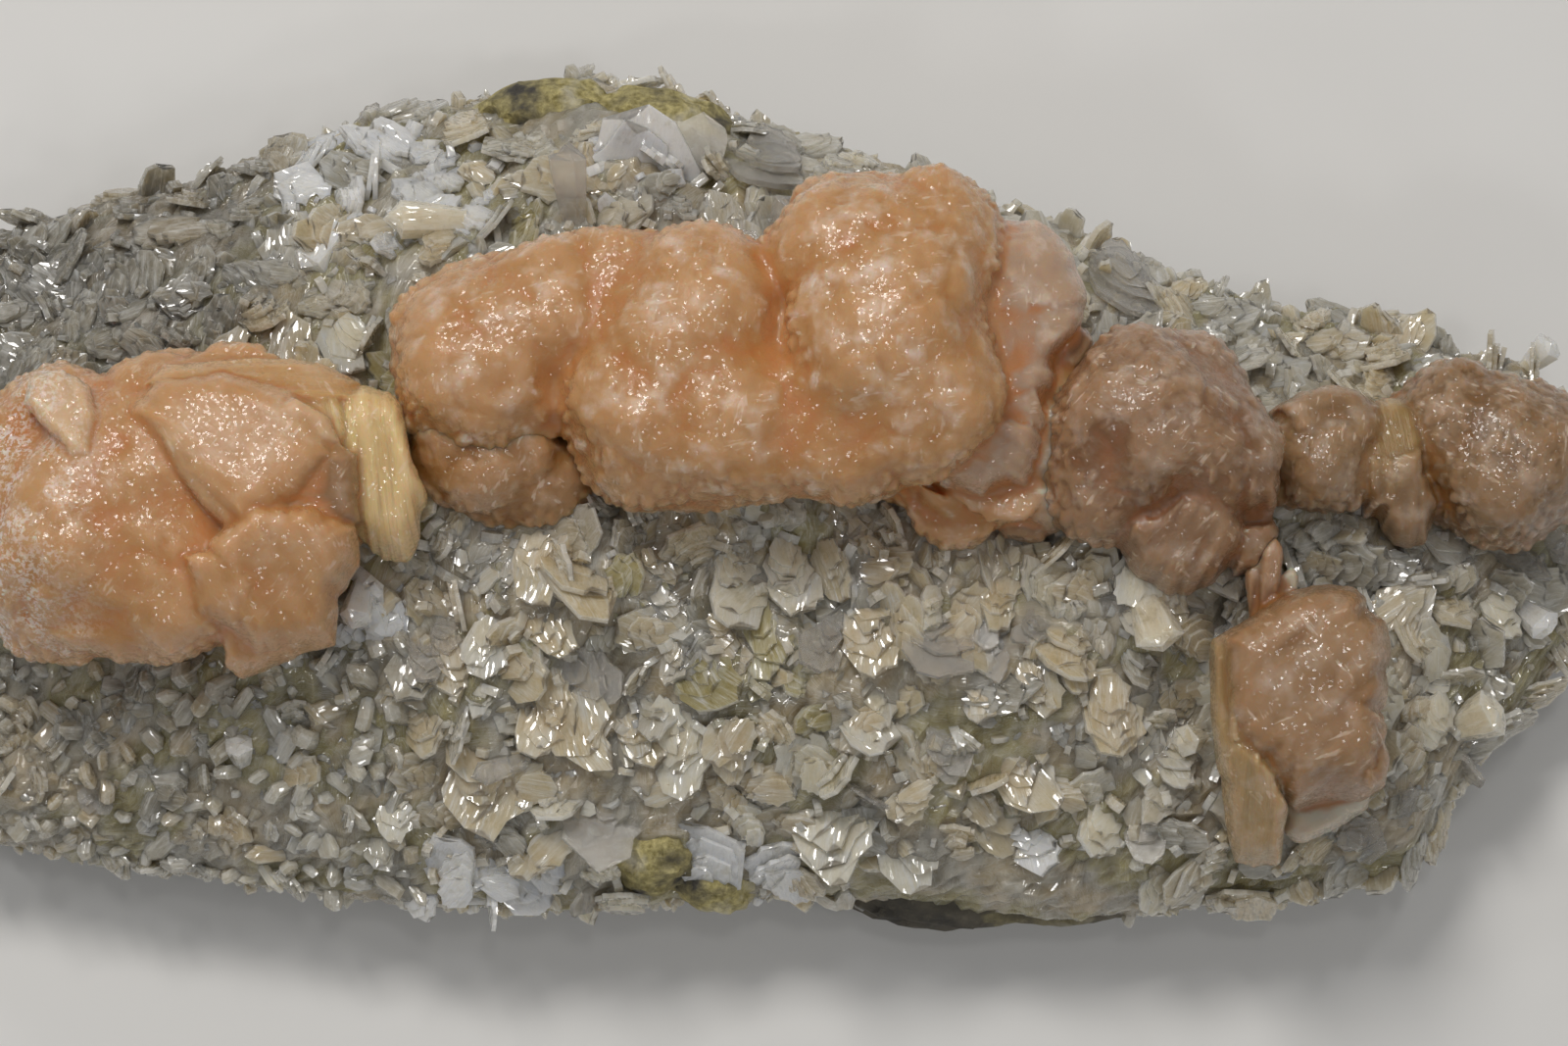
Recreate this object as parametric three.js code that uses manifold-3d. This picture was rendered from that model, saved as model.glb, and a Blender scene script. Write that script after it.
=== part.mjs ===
// A stilbite specimen: peach, waxy crystal clusters standing on a crust of small pale crystals,
// which covers an elongated piece of dark basalt. It lies on the rock's flat underside.
// Units are millimetres, +X runs along the specimen, +Z is up, and the origin is the middle of the
// flat underside.
import * as THREE from 'three';
import { mergeVertices } from 'three/addons/utils/BufferGeometryUtils.js';
import Module from 'manifold-3d';

const wasm = await Module();
wasm.setup();
const { Manifold, Mesh } = wasm;

// Driving dimensions
const HALF_LENGTH = 95.1;
const RIM_HEIGHT = 12.5;
const END_RIM_DROP = 3.5;
const CRUST_THICKNESS = 4;
const CRUST_OVERHANG = 3;
const CRUST_SKIRT = 3.5;
const BASE_SHARE = 0.86;
const GAP = 0.3;
const FACET_DETAIL = 0.2;
const ROOM = GAP + FACET_DETAIL;
const CUT_DETAIL = 0.06;

// The specimen's rim seen from above: x, y of the back edge, y of the front edge, height of the crown.
const RIM = [
  [-95.1, 2.2, -6.0, 14], [-93.3, 10.8, -18.7, 16], [-89.4, 21.5, -29.2, 19.5], [-82.6, 28.9, -36.3, 23.5],
  [-72.0, 31.4, -38.5, 26.5], [-61.2, 34.0, -40.2, 29], [-49.5, 38.4, -42.0, 31.5], [-37.0, 42.4, -43.3, 33],
  [-26.0, 44.2, -44.3, 34], [-15.7, 46.3, -44.3, 35], [-8.3, 44.4, -43.6, 35], [4.0, 40.2, -43.0, 34.7],
  [18.3, 35.6, -44.3, 34], [32.0, 30.5, -45.6, 32.8], [46.0, 24.7, -44.3, 31], [59.0, 20.3, -43.1, 27.5],
  [69.9, 19.9, -41.2, 24], [77.2, 15.9, -30.3, 21], [84.5, 15.1, -22.4, 17.5], [90.5, 9.5, -14.2, 14],
  [95.1, 0.1, -2.8, 11.5],
];
// Where the section of the loft is sampled, from the back rim (-1) to the front rim (1).
const ACROSS = [-1, -0.92, -0.7, -0.4, 0, 0.4, 0.7, 0.92, 1];
const ACROSS_CRUST = [-1, -0.95, -0.84, -0.69, -0.52, -0.34, -0.12, 0.12, 0.34, 0.52, 0.69, 0.84, 0.95, 1];
// How far the facets of the crust stand up and down from its even form.
const CRUST_ROUGHNESS = 1.5;
// How deep stems and blades stand in the crust.
const STEM_SINK = 2.5;
const BLADE_SINK = 1.6;
// Rosettes: how much narrower the outer plates are, how far a rim point may stray along and outwards.
const OUTER_PLATE_TAPER = 0.12;
const RIM_POINT_SHIFT = 0.25;
const RIM_POINT_REACH = 0.06;
// A corner has to move this much further than the faces that meet in it.
const CORNER_SHARE = 1.5;

const radians = THREE.MathUtils.degToRad;

function randomFrom(seed) {
  let state = seed >>> 0;
  return () => {
    state = (state + 0x6d2b79f5) >>> 0;
    let t = state;
    t = Math.imul(t ^ (t >>> 15), t | 1);
    t ^= t + Math.imul(t ^ (t >>> 7), t | 61);
    return ((t ^ (t >>> 14)) >>> 0) / 4294967296;
  };
}

// Gentle hollows and swells of the ground, in millimetres.
function swell(x, y) {
  return 1.1 * Math.sin(x * 0.21 + 1.3) * Math.cos(y * 0.27 + 0.4)
    + 0.8 * Math.sin(x * 0.09 - y * 0.17 + 2.1)
    + 0.5 * Math.sin(x * 0.47 + y * 0.39);
}

function rimAt(x) {
  const limited = THREE.MathUtils.clamp(x, -HALF_LENGTH, HALF_LENGTH);
  let i = 1;
  while (i < RIM.length - 1 && RIM[i][0] < limited) i += 1;
  const [a, b] = [RIM[i - 1], RIM[i]];
  const t = (limited - a[0]) / (b[0] - a[0]);
  const rim = RIM_HEIGHT - END_RIM_DROP * Math.abs(limited / HALF_LENGTH) ** 6;
  return {
    back: a[1] + (b[1] - a[1]) * t,
    front: a[2] + (b[2] - a[2]) * t,
    crown: a[3] + (b[3] - a[3]) * t,
    rim,
  };
}

// Height of the crust's surface over a point of the plan.
function surfaceHeight(x, y) {
  const { back, front, crown, rim } = rimAt(x);
  const v = Math.min(1, Math.abs((y - (back + front) / 2) / ((back - front) / 2)));
  const dome = (1 - v ** 2.2) ** 0.7;
  return rim + (crown - rim) * dome + swell(x, y) * Math.min(1, dome * 1.6);
}

function surfaceNormal(x, y) {
  const step = 1.5;
  const dx = (surfaceHeight(x + step, y) - surfaceHeight(x - step, y)) / (2 * step);
  const dy = (surfaceHeight(x, y + step) - surfaceHeight(x, y - step)) / (2 * step);
  return new THREE.Vector3(-dx, -dy, 1).normalize();
}

function geometryFrom(points, triangles) {
  const geometry = new THREE.BufferGeometry();
  geometry.setAttribute('position', new THREE.Float32BufferAttribute(points.flat(), 3));
  geometry.setIndex(triangles.flat());
  return geometry;
}

function solidFrom(source) {
  const bare = source.clone();
  bare.deleteAttribute('normal');
  bare.deleteAttribute('uv');
  const merged = mergeVertices(bare, 1e-4);
  return new Manifold(new Mesh({
    numProp: 3,
    vertProperties: new Float32Array(merged.attributes.position.array),
    triVerts: new Uint32Array(merged.index.array),
  }));
}

// A joined solid as one skin, without the edges and slivers that are smaller than a detail.
function oneSkin(solid, detail) {
  return solid.asOriginal().simplify(detail);
}

// The largest body of a solid.
function mainBody(solid) {
  const bodies = oneSkin(solid, CUT_DETAIL).decompose();
  return bodies.reduce((best, body) => (body.volume() > best.volume() ? body : best));
}

function meshFrom(name, solid, material) {
  const { vertProperties, triVerts } = solid.getMesh();
  const geometry = new THREE.BufferGeometry();
  geometry.setAttribute('position', new THREE.Float32BufferAttribute(vertProperties, 3));
  geometry.setIndex(new THREE.Uint32BufferAttribute(triVerts, 1));
  geometry.computeVertexNormals();
  const mesh = new THREE.Mesh(geometry, new THREE.MeshStandardMaterial(material));
  mesh.name = name;
  return mesh;
}

// Closed skin over a row of rings that all have the same number of points.
function loft(rings) {
  const count = rings[0].length;
  const triangles = [];
  for (let r = 0; r < rings.length - 1; r += 1) {
    for (let i = 0; i < count; i += 1) {
      const a = r * count + i;
      const b = r * count + ((i + 1) % count);
      triangles.push([a, b, a + count], [b, b + count, a + count]);
    }
  }
  const last = (rings.length - 1) * count;
  for (let i = 1; i < count - 1; i += 1) {
    triangles.push([0, i + 1, i], [last, last + i, last + i + 1]);
  }
  return solidFrom(geometryFrom(rings.flat(), triangles));
}

// The top surface of one section, drawn in by an inset and lowered, and roughened by chance.
function topOfSection(x, across, inset, lowered, rough = () => 0) {
  const { back, front, rim } = rimAt(x);
  const middle = (back + front) / 2;
  const half = (back - front) / 2;
  const narrow = Math.max(0.5, half - inset) / half;
  const scale = 1 - inset / HALF_LENGTH;
  return across.map((v) => {
    const y = middle - v * half;
    const least = rim - lowered * 0.3 + 0.9 * (1 - v * v);
    const z = Math.max(least, surfaceHeight(x, y) - lowered);
    return [x * scale, middle - v * half * narrow, z + rough() * (1 - v ** 8)];
  });
}

// The basalt: the same hump as the crust, smaller, with broken sides that lean in to a flat base.
function rockSolid(grow) {
  const inset = CRUST_OVERHANG - grow;
  const lowered = CRUST_THICKNESS - grow;
  const chip = randomFrom(11);
  const rings = RIM.map(([x]) => {
    const top = topOfSection(x, ACROSS, inset, lowered);
    const [first, last] = [top[0], top[top.length - 1]];
    const middle = (first[1] + last[1]) / 2;
    const half = (first[1] - last[1]) / 2;
    const side = () => 0.97 - 0.07 * chip();
    const foot = () => BASE_SHARE - 0.08 * chip();
    const low = -grow;
    const mid = first[2] * (0.4 + 0.2 * chip());
    return [
      ...top,
      [last[0], middle - half * side() - grow, mid],
      [last[0], middle - half * foot() - grow, low],
      [last[0], middle + half * foot() + grow, low],
      [last[0], middle + half * side() + grow, mid],
    ];
  });
  const lumps = BARE_ROCK.map(([x, y, z, rx, ry, rz, turn]) => {
    const lump = new THREE.IcosahedronGeometry(1, 0);
    lump.scale(rx + grow, ry + grow, rz + grow);
    lump.rotateZ(radians(turn));
    lump.translate(x, y, z);
    return solidFrom(lump);
  });
  return oneSkin(Manifold.union([loft(rings), ...lumps]), grow ? CUT_DETAIL : FACET_DETAIL);
}

// Places where the rock shows through the crust: x, y, z of the middle, three half sizes, turn.
const BARE_ROCK = [
  [-21, 41.2, 15.5, 8, 4.2, 6.5, 6],
  [-8.5, 39.2, 16.5, 9, 4.5, 6.5, -14],
  [-9.2, -38.2, 17, 5.6, 5, 5.8, 20],
  [-3.0, -41.2, 13.5, 5, 3.6, 4.6, -10],
  [22, -42.6, 10.5, 11, 3.8, 3.4, -2],
  [35, -42.8, 10.2, 8, 3.2, 3.2, 3],
  [23.2, -21.5, 28.5, 3.4, 2.8, 4.4, 30],
];

// The crust's ground, before its crystals: the hump at full size down to a skirt below the rim.
function crustGround(grow) {
  const stations = RIM.flatMap(([x], i) => (i > 0 ? [(x + RIM[i - 1][0]) / 2, x] : [x]));
  const pick = randomFrom(5);
  const rough = () => CRUST_ROUGHNESS * (pick() + pick() - 1);
  const rings = stations.map((x) => {
    const top = topOfSection(x, ACROSS_CRUST, -grow, -grow, rough);
    const [first, last] = [top[0], top[top.length - 1]];
    const skirt = rimAt(x).rim - CRUST_SKIRT - grow;
    return [...top, [last[0], last[1], skirt], [first[0], first[1], skirt]];
  });
  return loft(rings);
}

// A plate crystal: a flat outline in the plane of its own length (x) and width (y), whose thickness
// (z) changes evenly from the root to the far end. The turn carries it to its place.
function plateSolid(outline, rootHalf, endHalf, reach, place) {
  const shape = new THREE.Shape(outline.map(([along, across]) => new THREE.Vector2(along, across)));
  const plate = new THREE.ExtrudeGeometry(shape, { depth: 1, bevelEnabled: false });
  const position = plate.attributes.position;
  for (let i = 0; i < position.count; i += 1) {
    const half = rootHalf + ((endHalf - rootHalf) * position.getX(i)) / reach;
    position.setZ(i, (2 * position.getZ(i) - 1) * Math.max(0.1, half));
  }
  plate.applyMatrix4(place);
  return solidFrom(plate);
}

// Directions of a rosette: a points along its axis, n crosses its stack of plates, w lies in them.
function rosetteFrame({ azimuth, elevation, roll }) {
  const [az, el, turn] = [radians(azimuth), radians(elevation), radians(roll)];
  const a = new THREE.Vector3(Math.cos(el) * Math.cos(az), Math.cos(el) * Math.sin(az), Math.sin(el));
  const u = new THREE.Vector3(-Math.sin(el) * Math.cos(az), -Math.sin(el) * Math.sin(az), Math.cos(el));
  const s = new THREE.Vector3(-Math.sin(az), Math.cos(az), 0);
  const n = u.multiplyScalar(Math.cos(turn)).addScaledVector(s, Math.sin(turn));
  const w = new THREE.Vector3().crossVectors(n, a);
  return { a, n, w };
}

// How far the rosette reaches in one direction: lobes and hollows on a round form, the same after a
// full turn of the stack.
function reachAt(rosette, fan, stack) {
  const { reach, phase } = rosette;
  return reach * (1
    + 0.045 * Math.sin(2.6 * fan + phase) * Math.cos(2 * stack + 0.7 * phase)
    + 0.035 * Math.sin(4.3 * fan - 2 * stack + 2 * phase)
    + 0.02 * Math.cos(5 * stack + 3.1 * fan + phase));
}

// A rosette: plates that spread from one waist like the pages of an open book, with fan-shaped rims.
// On a round rosette they close into a ball, each plate one ridge or furrow, and on a stepped one each
// is a wedge with two edges that stands in front of or behind the next one. A rosette that is grown
// to make room for itself in its neighbours has no furrows or steps.
function rosetteSolid(rosette, grow) {
  const { at, reach, fan, stack, waist, plates, rim, step, stepped } = rosette;
  const { a, n, w } = rosetteFrame(rosette);
  const pick = randomFrom(rosette.seed);
  const centre = new THREE.Vector3(...at);
  const wider = grow / reach;
  const points = [];
  for (let k = 0; k < plates; k += 1) {
    const middle = radians(stack) * ((2 * k + 1) / plates - 1);
    const edge = Math.abs((2 * k + 1) / plates - 1);
    const shift = grow > 0 ? 1.02 + step : 1 + (k % 2 ? -step : step) + 0.02 * (pick() - 0.5);
    const rimLengths = [];
    const rimAngles = [];
    for (let j = 0; j <= rim; j += 1) {
      const angle = radians(fan) * (1 - OUTER_PLATE_TAPER * edge) * ((2 * j) / rim - 1);
      const stray = j > 0 && j < rim ? RIM_POINT_SHIFT * (pick() - 0.5) : 0;
      rimAngles.push(angle + (stray * radians(fan)) / rim);
      const chance = 1 + RIM_POINT_REACH * (pick() - 0.5);
      rimLengths.push(reachAt(rosette, angle, middle) * shift * chance + grow * CORNER_SHARE);
    }
    const sides = stepped ? [0, 1] : [0.5];
    for (const side of sides) {
      let tilt = radians(stack) * ((2 * (k + side)) / plates - 1);
      if (k + side === 0) tilt -= wider;
      if (k + side === plates) tilt += wider;
      const along = a.clone().multiplyScalar(Math.cos(tilt)).addScaledVector(n, Math.sin(tilt));
      rimAngles.forEach((angle, j) => {
        const widened = stepped ? angle * (1 + wider / radians(fan)) : angle;
        const point = centre.clone()
          .addScaledVector(along, Math.cos(widened) * rimLengths[j])
          .addScaledVector(w, Math.sin(widened) * rimLengths[j]);
        points.push(point.toArray());
      });
    }
  }
  const back = stepped ? -waist * 0.35 - grow * CORNER_SHARE : 0;
  for (const side of [-1, 1]) {
    const end = centre.clone().addScaledVector(w, side * (waist * 0.5 + grow)).addScaledVector(a, back);
    points.push(end.toArray());
  }
  const rows = stepped ? 2 * plates : plates;
  const width = rim + 1;
  const [low, high] = [rows * width, rows * width + 1];
  const triangles = [];
  for (let r = 0; r < (stepped ? rows - 1 : rows); r += 1) {
    const [here, next] = [r * width, ((r + 1) % rows) * width];
    for (let j = 0; j < rim; j += 1) {
      triangles.push([here + j, here + j + 1, next + j], [here + j + 1, next + j + 1, next + j]);
    }
    triangles.push([low, here, next], [high, next + rim, here + rim]);
  }
  if (stepped) {
    const lastRow = (rows - 1) * width;
    for (let j = 0; j < rim; j += 1) {
      triangles.push([low, j + 1, j], [low, lastRow + j, lastRow + j + 1]);
    }
    triangles.push([low, high, rim], [low, lastRow + rim, high]);
  }
  return solidFrom(geometryFrom(points, triangles));
}

// A stem of grown-together crystals that carries the rosettes: five-sided, down into the crust.
function stemSolid([x, y, top, radius], grow) {
  const foot = surfaceHeight(x, y) - STEM_SINK;
  const ring = (height, size) => Array.from({ length: 5 }, (_, i) => {
    const angle = radians(72 * i + 3 * x);
    const corner = size + grow * CORNER_SHARE;
    return [x + Math.cos(angle) * corner, y + Math.sin(angle) * corner, height];
  });
  return loft([ring(foot - grow, radius * 0.8), ring(top + grow, radius)]);
}

// The kinds of rosette: half angle of the fan, half angle of the stack, plates in the stack, edges
// on each rim, step between plates and waist as shares of the reach.
const KINDS = {
  ball: { fan: 62, stack: 180, plates: 8, rim: 3, step: 0.04, stepped: false, waist: 1.84 },
  small: { fan: 60, stack: 180, plates: 7, rim: 3, step: 0.045, stepped: false, waist: 1.8 },
  fan: { fan: 52, stack: 28, plates: 3, rim: 4, step: 0.07, stepped: true, waist: 0.5 },
  leaf: { fan: 38, stack: 18, plates: 2, rim: 3, step: 0.06, stepped: true, waist: 0.4 },
  book: { fan: 12, stack: 13, plates: 3, rim: 2, step: 0.04, stepped: true, waist: 0.45 },
  blade: { fan: 13, stack: 9, plates: 1, rim: 2, step: 0.03, stepped: true, waist: 0.25 },
};

// Every rosette: kind, x, y, z of its waist, reach, azimuth and elevation of its axis, roll of its stack.
const CENTRE = [
  ['ball', -26.6, 8.8, 40.5, 9.9, 180, 65, 20],
  ['ball', -19.5, 13.0, 42.5, 8.6, 90, 80, 50],
  ['ball', -11.9, 14.5, 42.5, 8.2, 60, 65, 80],
  ['ball', -4.3, 12.9, 46, 9.0, 90, 75, 30],
  ['ball', -8.5, 3.2, 44.5, 9.6, 250, 65, 60],
  ['ball', -0.4, 2.4, 45, 9.5, 300, 60, 10],
  ['ball', 12.2, 17.9, 46.5, 9.6, 110, 55, 75],
  ['ball', 19.0, 19.3, 46.5, 8.6, 70, 55, 40],
  ['ball', 14.1, 9.7, 49.5, 10.0, 90, 85, 15],
  ['ball', 10.4, 3.0, 45, 9.6, 265, 55, 65],
  ['ball', 18.1, 4.8, 48, 9.2, 290, 75, 35],
  ['fan', 22.1, 14.4, 46.5, 12.6, 10, 14, 4],
  ['fan', 20.4, 6.1, 45.5, 12.6, 345, 16, -6],
  ['fan', 19.3, 4.7, 45.5, 11.8, 305, 22, 8],
  ['fan', 24.9, 5.6, 42, 11.4, 322, 14, -4],
  ['fan', 20.6, 1.2, 40, 10.2, 290, 14, 5],
  ['fan', 26.7, 1.0, 39.5, 9.4, 296, 12, 0],
];
const TAN = [
  ['ball', -25.9, 0.8, 37.5, 8.7, 250, 55, 30],
  ['small', -20.4, -1.5, 36, 6.2, 290, 40, 70],
];
const RIGHT = [
  ['ball', 41.0, 2.7, 41, 9.5, 80, 80, 45],
  ['ball', 48.2, -0.2, 40, 7.2, 350, 60, 15],
  ['small', 45.9, 6.0, 37.5, 7.0, 50, 30, 60],
  ['fan', 43.6, -3.6, 39, 10.6, 272, 20, 6],
  ['fan', 47.5, -3.8, 38.5, 9.2, 302, 24, -8],
  ['small', 37.8, -2.0, 38.5, 7.8, 240, 40, 30],
];
const BOW_TIE = [
  ['small', 60.0, 0.5, 32, 6.2, 100, 75, 20],
  ['fan', 61.8, 2.9, 31, 6.8, 55, 22, 10],
  ['leaf', 66.9, 5.2, 31, 10.4, 276, 18, -5],
  ['ball', 80.3, 0.9, 28.5, 9.2, 60, 80, 65],
  ['small', 74.2, 4.6, 29, 7.0, 150, 45, 25],
];
const BARREL = [
  ['ball', 57.3, -22.8, 35.5, 9.5, 20, 72, 88],
  ['ball', 59.3, -27.9, 34.5, 8.6, 320, 50, 80],
  ['book', 53.0, -24.2, 32, 16.6, 271, 6, 86],
  ['fan', 57.8, -30.3, 29.5, 8.6, 302, 8, 10],
  ['blade', 53.4, -19.0, 35, 9.6, 92, 24, 70],
  ['blade', 56.7, -17.9, 34, 8.4, 78, 20, 80],
];
const LEFT = [
  ['ball', -57.8, -0.5, 39, 10.6, 100, 70, 35],
  ['ball', -66.8, -8.3, 38, 12.2, 150, 80, 70],
  ['ball', -75.7, -4.9, 35, 9.6, 190, 45, 20],
  ['small', -69.5, -14.1, 35, 7.8, 240, 40, 55],
  ['ball', -57.5, -12.4, 39.5, 9.6, 270, 60, 15],
  ['fan', -56.7, 1.7, 42.5, 15.4, 356, 10, 3],
  ['fan', -50.9, -9.9, 42.5, 11.6, 328, 26, -8],
  ['fan', -53.8, -12.9, 39, 10.4, 288, 20, 10],
  ['small', -70.0, 2.9, 37.5, 7.0, 110, 55, 60],
  ['book', -62.8, 7.0, 40.5, 23, 359, 0, 12],
  ['book', -37.1, 7.8, 39, 18.6, 268, 2, 78],
  ['leaf', -39.1, 4.3, 39, 8.6, 196, 16, 5],
];

// The stems under each cluster: x, y, height of the top, radius.
const CENTRE_STEMS = [
  [-25.6, 9.0, 40, 7.6], [-12.5, 12.4, 42, 7.6], [-7.4, 3.2, 43, 8],
  [3.5, 9.0, 44, 8], [13.0, 13.2, 46, 9.5], [14.4, 3.4, 45, 8.8], [24.4, 4.6, 41, 7],
];
const TAN_STEMS = [[-25.0, 0.4, 37, 6.6]];
const RIGHT_STEMS = [[41.0, 1.0, 40, 7.6], [46.0, -3.0, 38, 6.5]];
const BOW_TIE_STEMS = [[60.6, 0.0, 31, 5.2], [68.0, 3.0, 30, 4.6], [78.0, 0.0, 29, 7.4]];
const BARREL_STEMS = [[57.4, -25.0, 35, 7.6]];
const LEFT_STEMS = [
  [-57.6, -1.4, 38, 8.6], [-66.0, -8.4, 38, 9.5], [-74.0, -5.6, 34, 7.5], [-56.0, -11.6, 39, 7.6],
  [-41.0, 2.0, 38, 4.6],
];

function rosettesFrom(rows, firstSeed) {
  return rows.map(([kind, x, y, z, reach, azimuth, elevation, roll], i) => {
    const shape = KINDS[kind];
    return {
      ...shape,
      at: [x, y, z],
      reach,
      azimuth,
      elevation,
      roll,
      waist: shape.waist * reach,
      seed: firstSeed + i,
      phase: (firstSeed + i) * 1.7,
    };
  });
}

function clusterSolid(rosettes, stems, grow) {
  const solids = rosettes.map((rosette) => rosetteSolid(rosette, grow));
  const joined = Manifold.union([...solids, ...stems.map((stem) => stemSolid(stem, grow))]);
  return oneSkin(joined, grow ? CUT_DETAIL : FACET_DETAIL);
}

// Placement with the length (x) along a direction and the width turned about it.
function standing(x, y, z, along, twist) {
  const helper = Math.abs(along.z) > 0.9 ? new THREE.Vector3(0, 1, 0) : new THREE.Vector3(0, 0, 1);
  const across = new THREE.Vector3().crossVectors(helper, along).normalize().applyAxisAngle(along, twist);
  const normal = new THREE.Vector3().crossVectors(along, across);
  return new THREE.Matrix4().makeBasis(along, across, normal).setPosition(x, y, z);
}

// The blade of one crust crystal: a slim plate with a slanted end, pointed on the larger ones.
function bladeSolid(x, y, along, twist, length, width, thickness, pointed) {
  const root = [[-BLADE_SINK, width * 0.4], [-BLADE_SINK, -width * 0.4]];
  const outline = pointed
    ? [...root, [length * 0.7, -width * 0.5], [length, width * 0.05], [length * 0.66, width * 0.5]]
    : [...root, [length * 0.8, -width * 0.5], [length, width * 0.4]];
  const place = standing(x, y, surfaceHeight(x, y), along, twist);
  return plateSolid(outline, thickness * 0.4, thickness * 0.5, length, place);
}

// Crystals of the crust that stand out: x, y, azimuth, elevation, twist, length, width, thickness.
const LARGE_BLADES = [
  [-27.5, 24.6, 182, 16, 20, 10.5, 4.2, 2.6],
  [-40.6, 24.2, 232, 18, 10, 6.5, 4.4, 2.4],
  [-17.4, 24.8, 95, 34, 80, 9.0, 4.6, 2.2],
  [-38.4, -12.6, 262, 30, 15, 6.4, 3.4, 2.4],
  [-47.2, -17.2, 250, 28, 40, 6.0, 3.2, 2.4],
  [41.4, -14.6, 285, 42, 12, 7.4, 5.2, 1.8],
  [48.0, -27.6, 200, 60, 60, 4.6, 3.4, 2.8],
  [73.4, -26.2, 20, 50, 25, 5.8, 5.4, 2.8],
  [79.4, -15.2, 310, 45, 50, 5.4, 3.8, 2.2],
  [3.2, 22.4, 60, 60, 30, 5.6, 3.4, 1.2],
  [-24.6, -27.4, 200, 24, 70, 6.6, 2.6, 1.6],
  [-62.6, 22.6, 120, 50, 35, 5.2, 3.6, 2.2],
];
// Fans of the crust, in the same form as the rosettes above.
const CRUST_FANS = [
  ['leaf', -13.4, -9.6, 34.5, 7.4, 250, 34, 20],
  ['leaf', -19.6, -10.4, 33.5, 6.0, 225, 36, 45],
  ['leaf', 3.4, -10.6, 34, 8.0, 275, 42, 12],
  ['leaf', 9.8, -10.2, 34, 6.4, 300, 38, 40],
  ['leaf', -13.6, -26.4, 30.5, 7.6, 262, 34, 8],
  ['leaf', -21.2, -25.6, 30.5, 6.2, 215, 36, 60],
  ['leaf', 10.4, -32.0, 25, 6.8, 270, 30, 15],
  ['leaf', 28.6, -33.6, 24.5, 7.6, 292, 30, 5],
  ['leaf', -9.6, 26.4, 31.5, 8.6, 62, 38, 12],
  ['leaf', -30.4, -34.6, 23, 6.6, 262, 32, 50],
  ['leaf', 33.6, -22.8, 29, 6.8, 236, 46, 30],
  ['leaf', -33.8, -23.8, 31, 6.4, 205, 50, 60],
];

// Small crystals spread over the whole crust, leaning away from the middle at chance angles.
const SMALL_BLADES = 60;

function crustBlades() {
  const pick = randomFrom(77);
  const blades = [];
  while (blades.length < SMALL_BLADES) {
    const x = (2 * pick() - 1) * HALF_LENGTH * 0.97;
    const { back, front } = rimAt(x);
    const v = (2 * pick() - 1) * 0.97;
    const y = (back + front) / 2 + (v * (back - front)) / 2;
    const length = 2.8 + 2.8 * pick();
    const lean = new THREE.Vector3(2 * pick() - 1, 2 * pick() - 1, 0.3 * pick());
    const along = surfaceNormal(x, y).addScaledVector(lean, 0.75).normalize();
    const twist = 2 * Math.PI * pick();
    const width = length * (0.6 + 0.3 * pick());
    const thickness = 1.6 + 1.6 * pick();
    const free = blades.every((other) => Math.hypot(other.x - x, other.y - y) > 7.6);
    if (free) blades.push({ x, y, solid: bladeSolid(x, y, along, twist, length, width, thickness, false) });
  }
  return blades.map(({ solid }) => solid);
}

function largeBlades() {
  return LARGE_BLADES.map(([x, y, azimuth, elevation, twist, length, width, thickness]) => {
    const [az, el] = [radians(azimuth), radians(elevation)];
    const along = new THREE.Vector3(Math.cos(el) * Math.cos(az), Math.cos(el) * Math.sin(az), Math.sin(el));
    return bladeSolid(x, y, along, radians(twist), length, width, thickness, true);
  });
}

// The clusters in the order in which they are cut: each one gives way to those before it.
const CLUSTERS = [
  ['centre_stilbite_cluster', CENTRE, CENTRE_STEMS, { color: 0xe9a182, roughness: 0.42, metalness: 0 }],
  ['tan_stilbite_rosette', TAN, TAN_STEMS, { color: 0xcf9a6c, roughness: 0.42, metalness: 0 }],
  ['right_stilbite_rosette', RIGHT, RIGHT_STEMS, { color: 0xdf9a7c, roughness: 0.42, metalness: 0 }],
  ['bow_tie_stilbite_sheaf', BOW_TIE, BOW_TIE_STEMS, { color: 0xd7a06c, roughness: 0.4, metalness: 0 }],
  ['barrel_stilbite_sheaf', BARREL, BARREL_STEMS, { color: 0xdd9c72, roughness: 0.4, metalness: 0 }],
  ['left_stilbite_cluster', LEFT, LEFT_STEMS, { color: 0xe8a884, roughness: 0.42, metalness: 0 }],
];

function specimen() {
  const rock = mainBody(rockSolid(0));
  const rockRoom = rockSolid(ROOM);
  const groundRoom = crustGround(GAP);
  const group = new THREE.Group();
  group.name = 'stilbite_specimen';

  let room = null;
  CLUSTERS.forEach(([name, rows, stems, material], i) => {
    const rosettes = rosettesFrom(rows, 100 * (i + 1));
    const taken = room ? [groundRoom, rockRoom, room] : [groundRoom, rockRoom];
    const solid = clusterSolid(rosettes, stems, 0).subtract(Manifold.union(taken));
    group.add(meshFrom(name, mainBody(solid), material));
    const own = clusterSolid(rosettes, stems, ROOM);
    room = room ? room.add(own) : own;
  });

  const fans = rosettesFrom(CRUST_FANS, 900).map((rosette) => rosetteSolid(rosette, 0));
  const crystals = Manifold.union([...fans, ...largeBlades(), ...crustBlades()]).subtract(room);
  const crust = mainBody(oneSkin(crystals.add(crustGround(0)), FACET_DETAIL / 2).subtract(rockRoom));
  group.add(meshFrom('drusy_crust', crust, { color: 0xbdb5a2, roughness: 0.35, metalness: 0 }));
  group.add(meshFrom('basalt_matrix', rock, { color: 0x4a4a3c, roughness: 0.85, metalness: 0 }));
  return group;
}

export default specimen();
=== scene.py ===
import math
from itertools import product

import bmesh
import bpy
import numpy as np
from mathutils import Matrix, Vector
from mathutils.bvhtree import BVHTree


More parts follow.
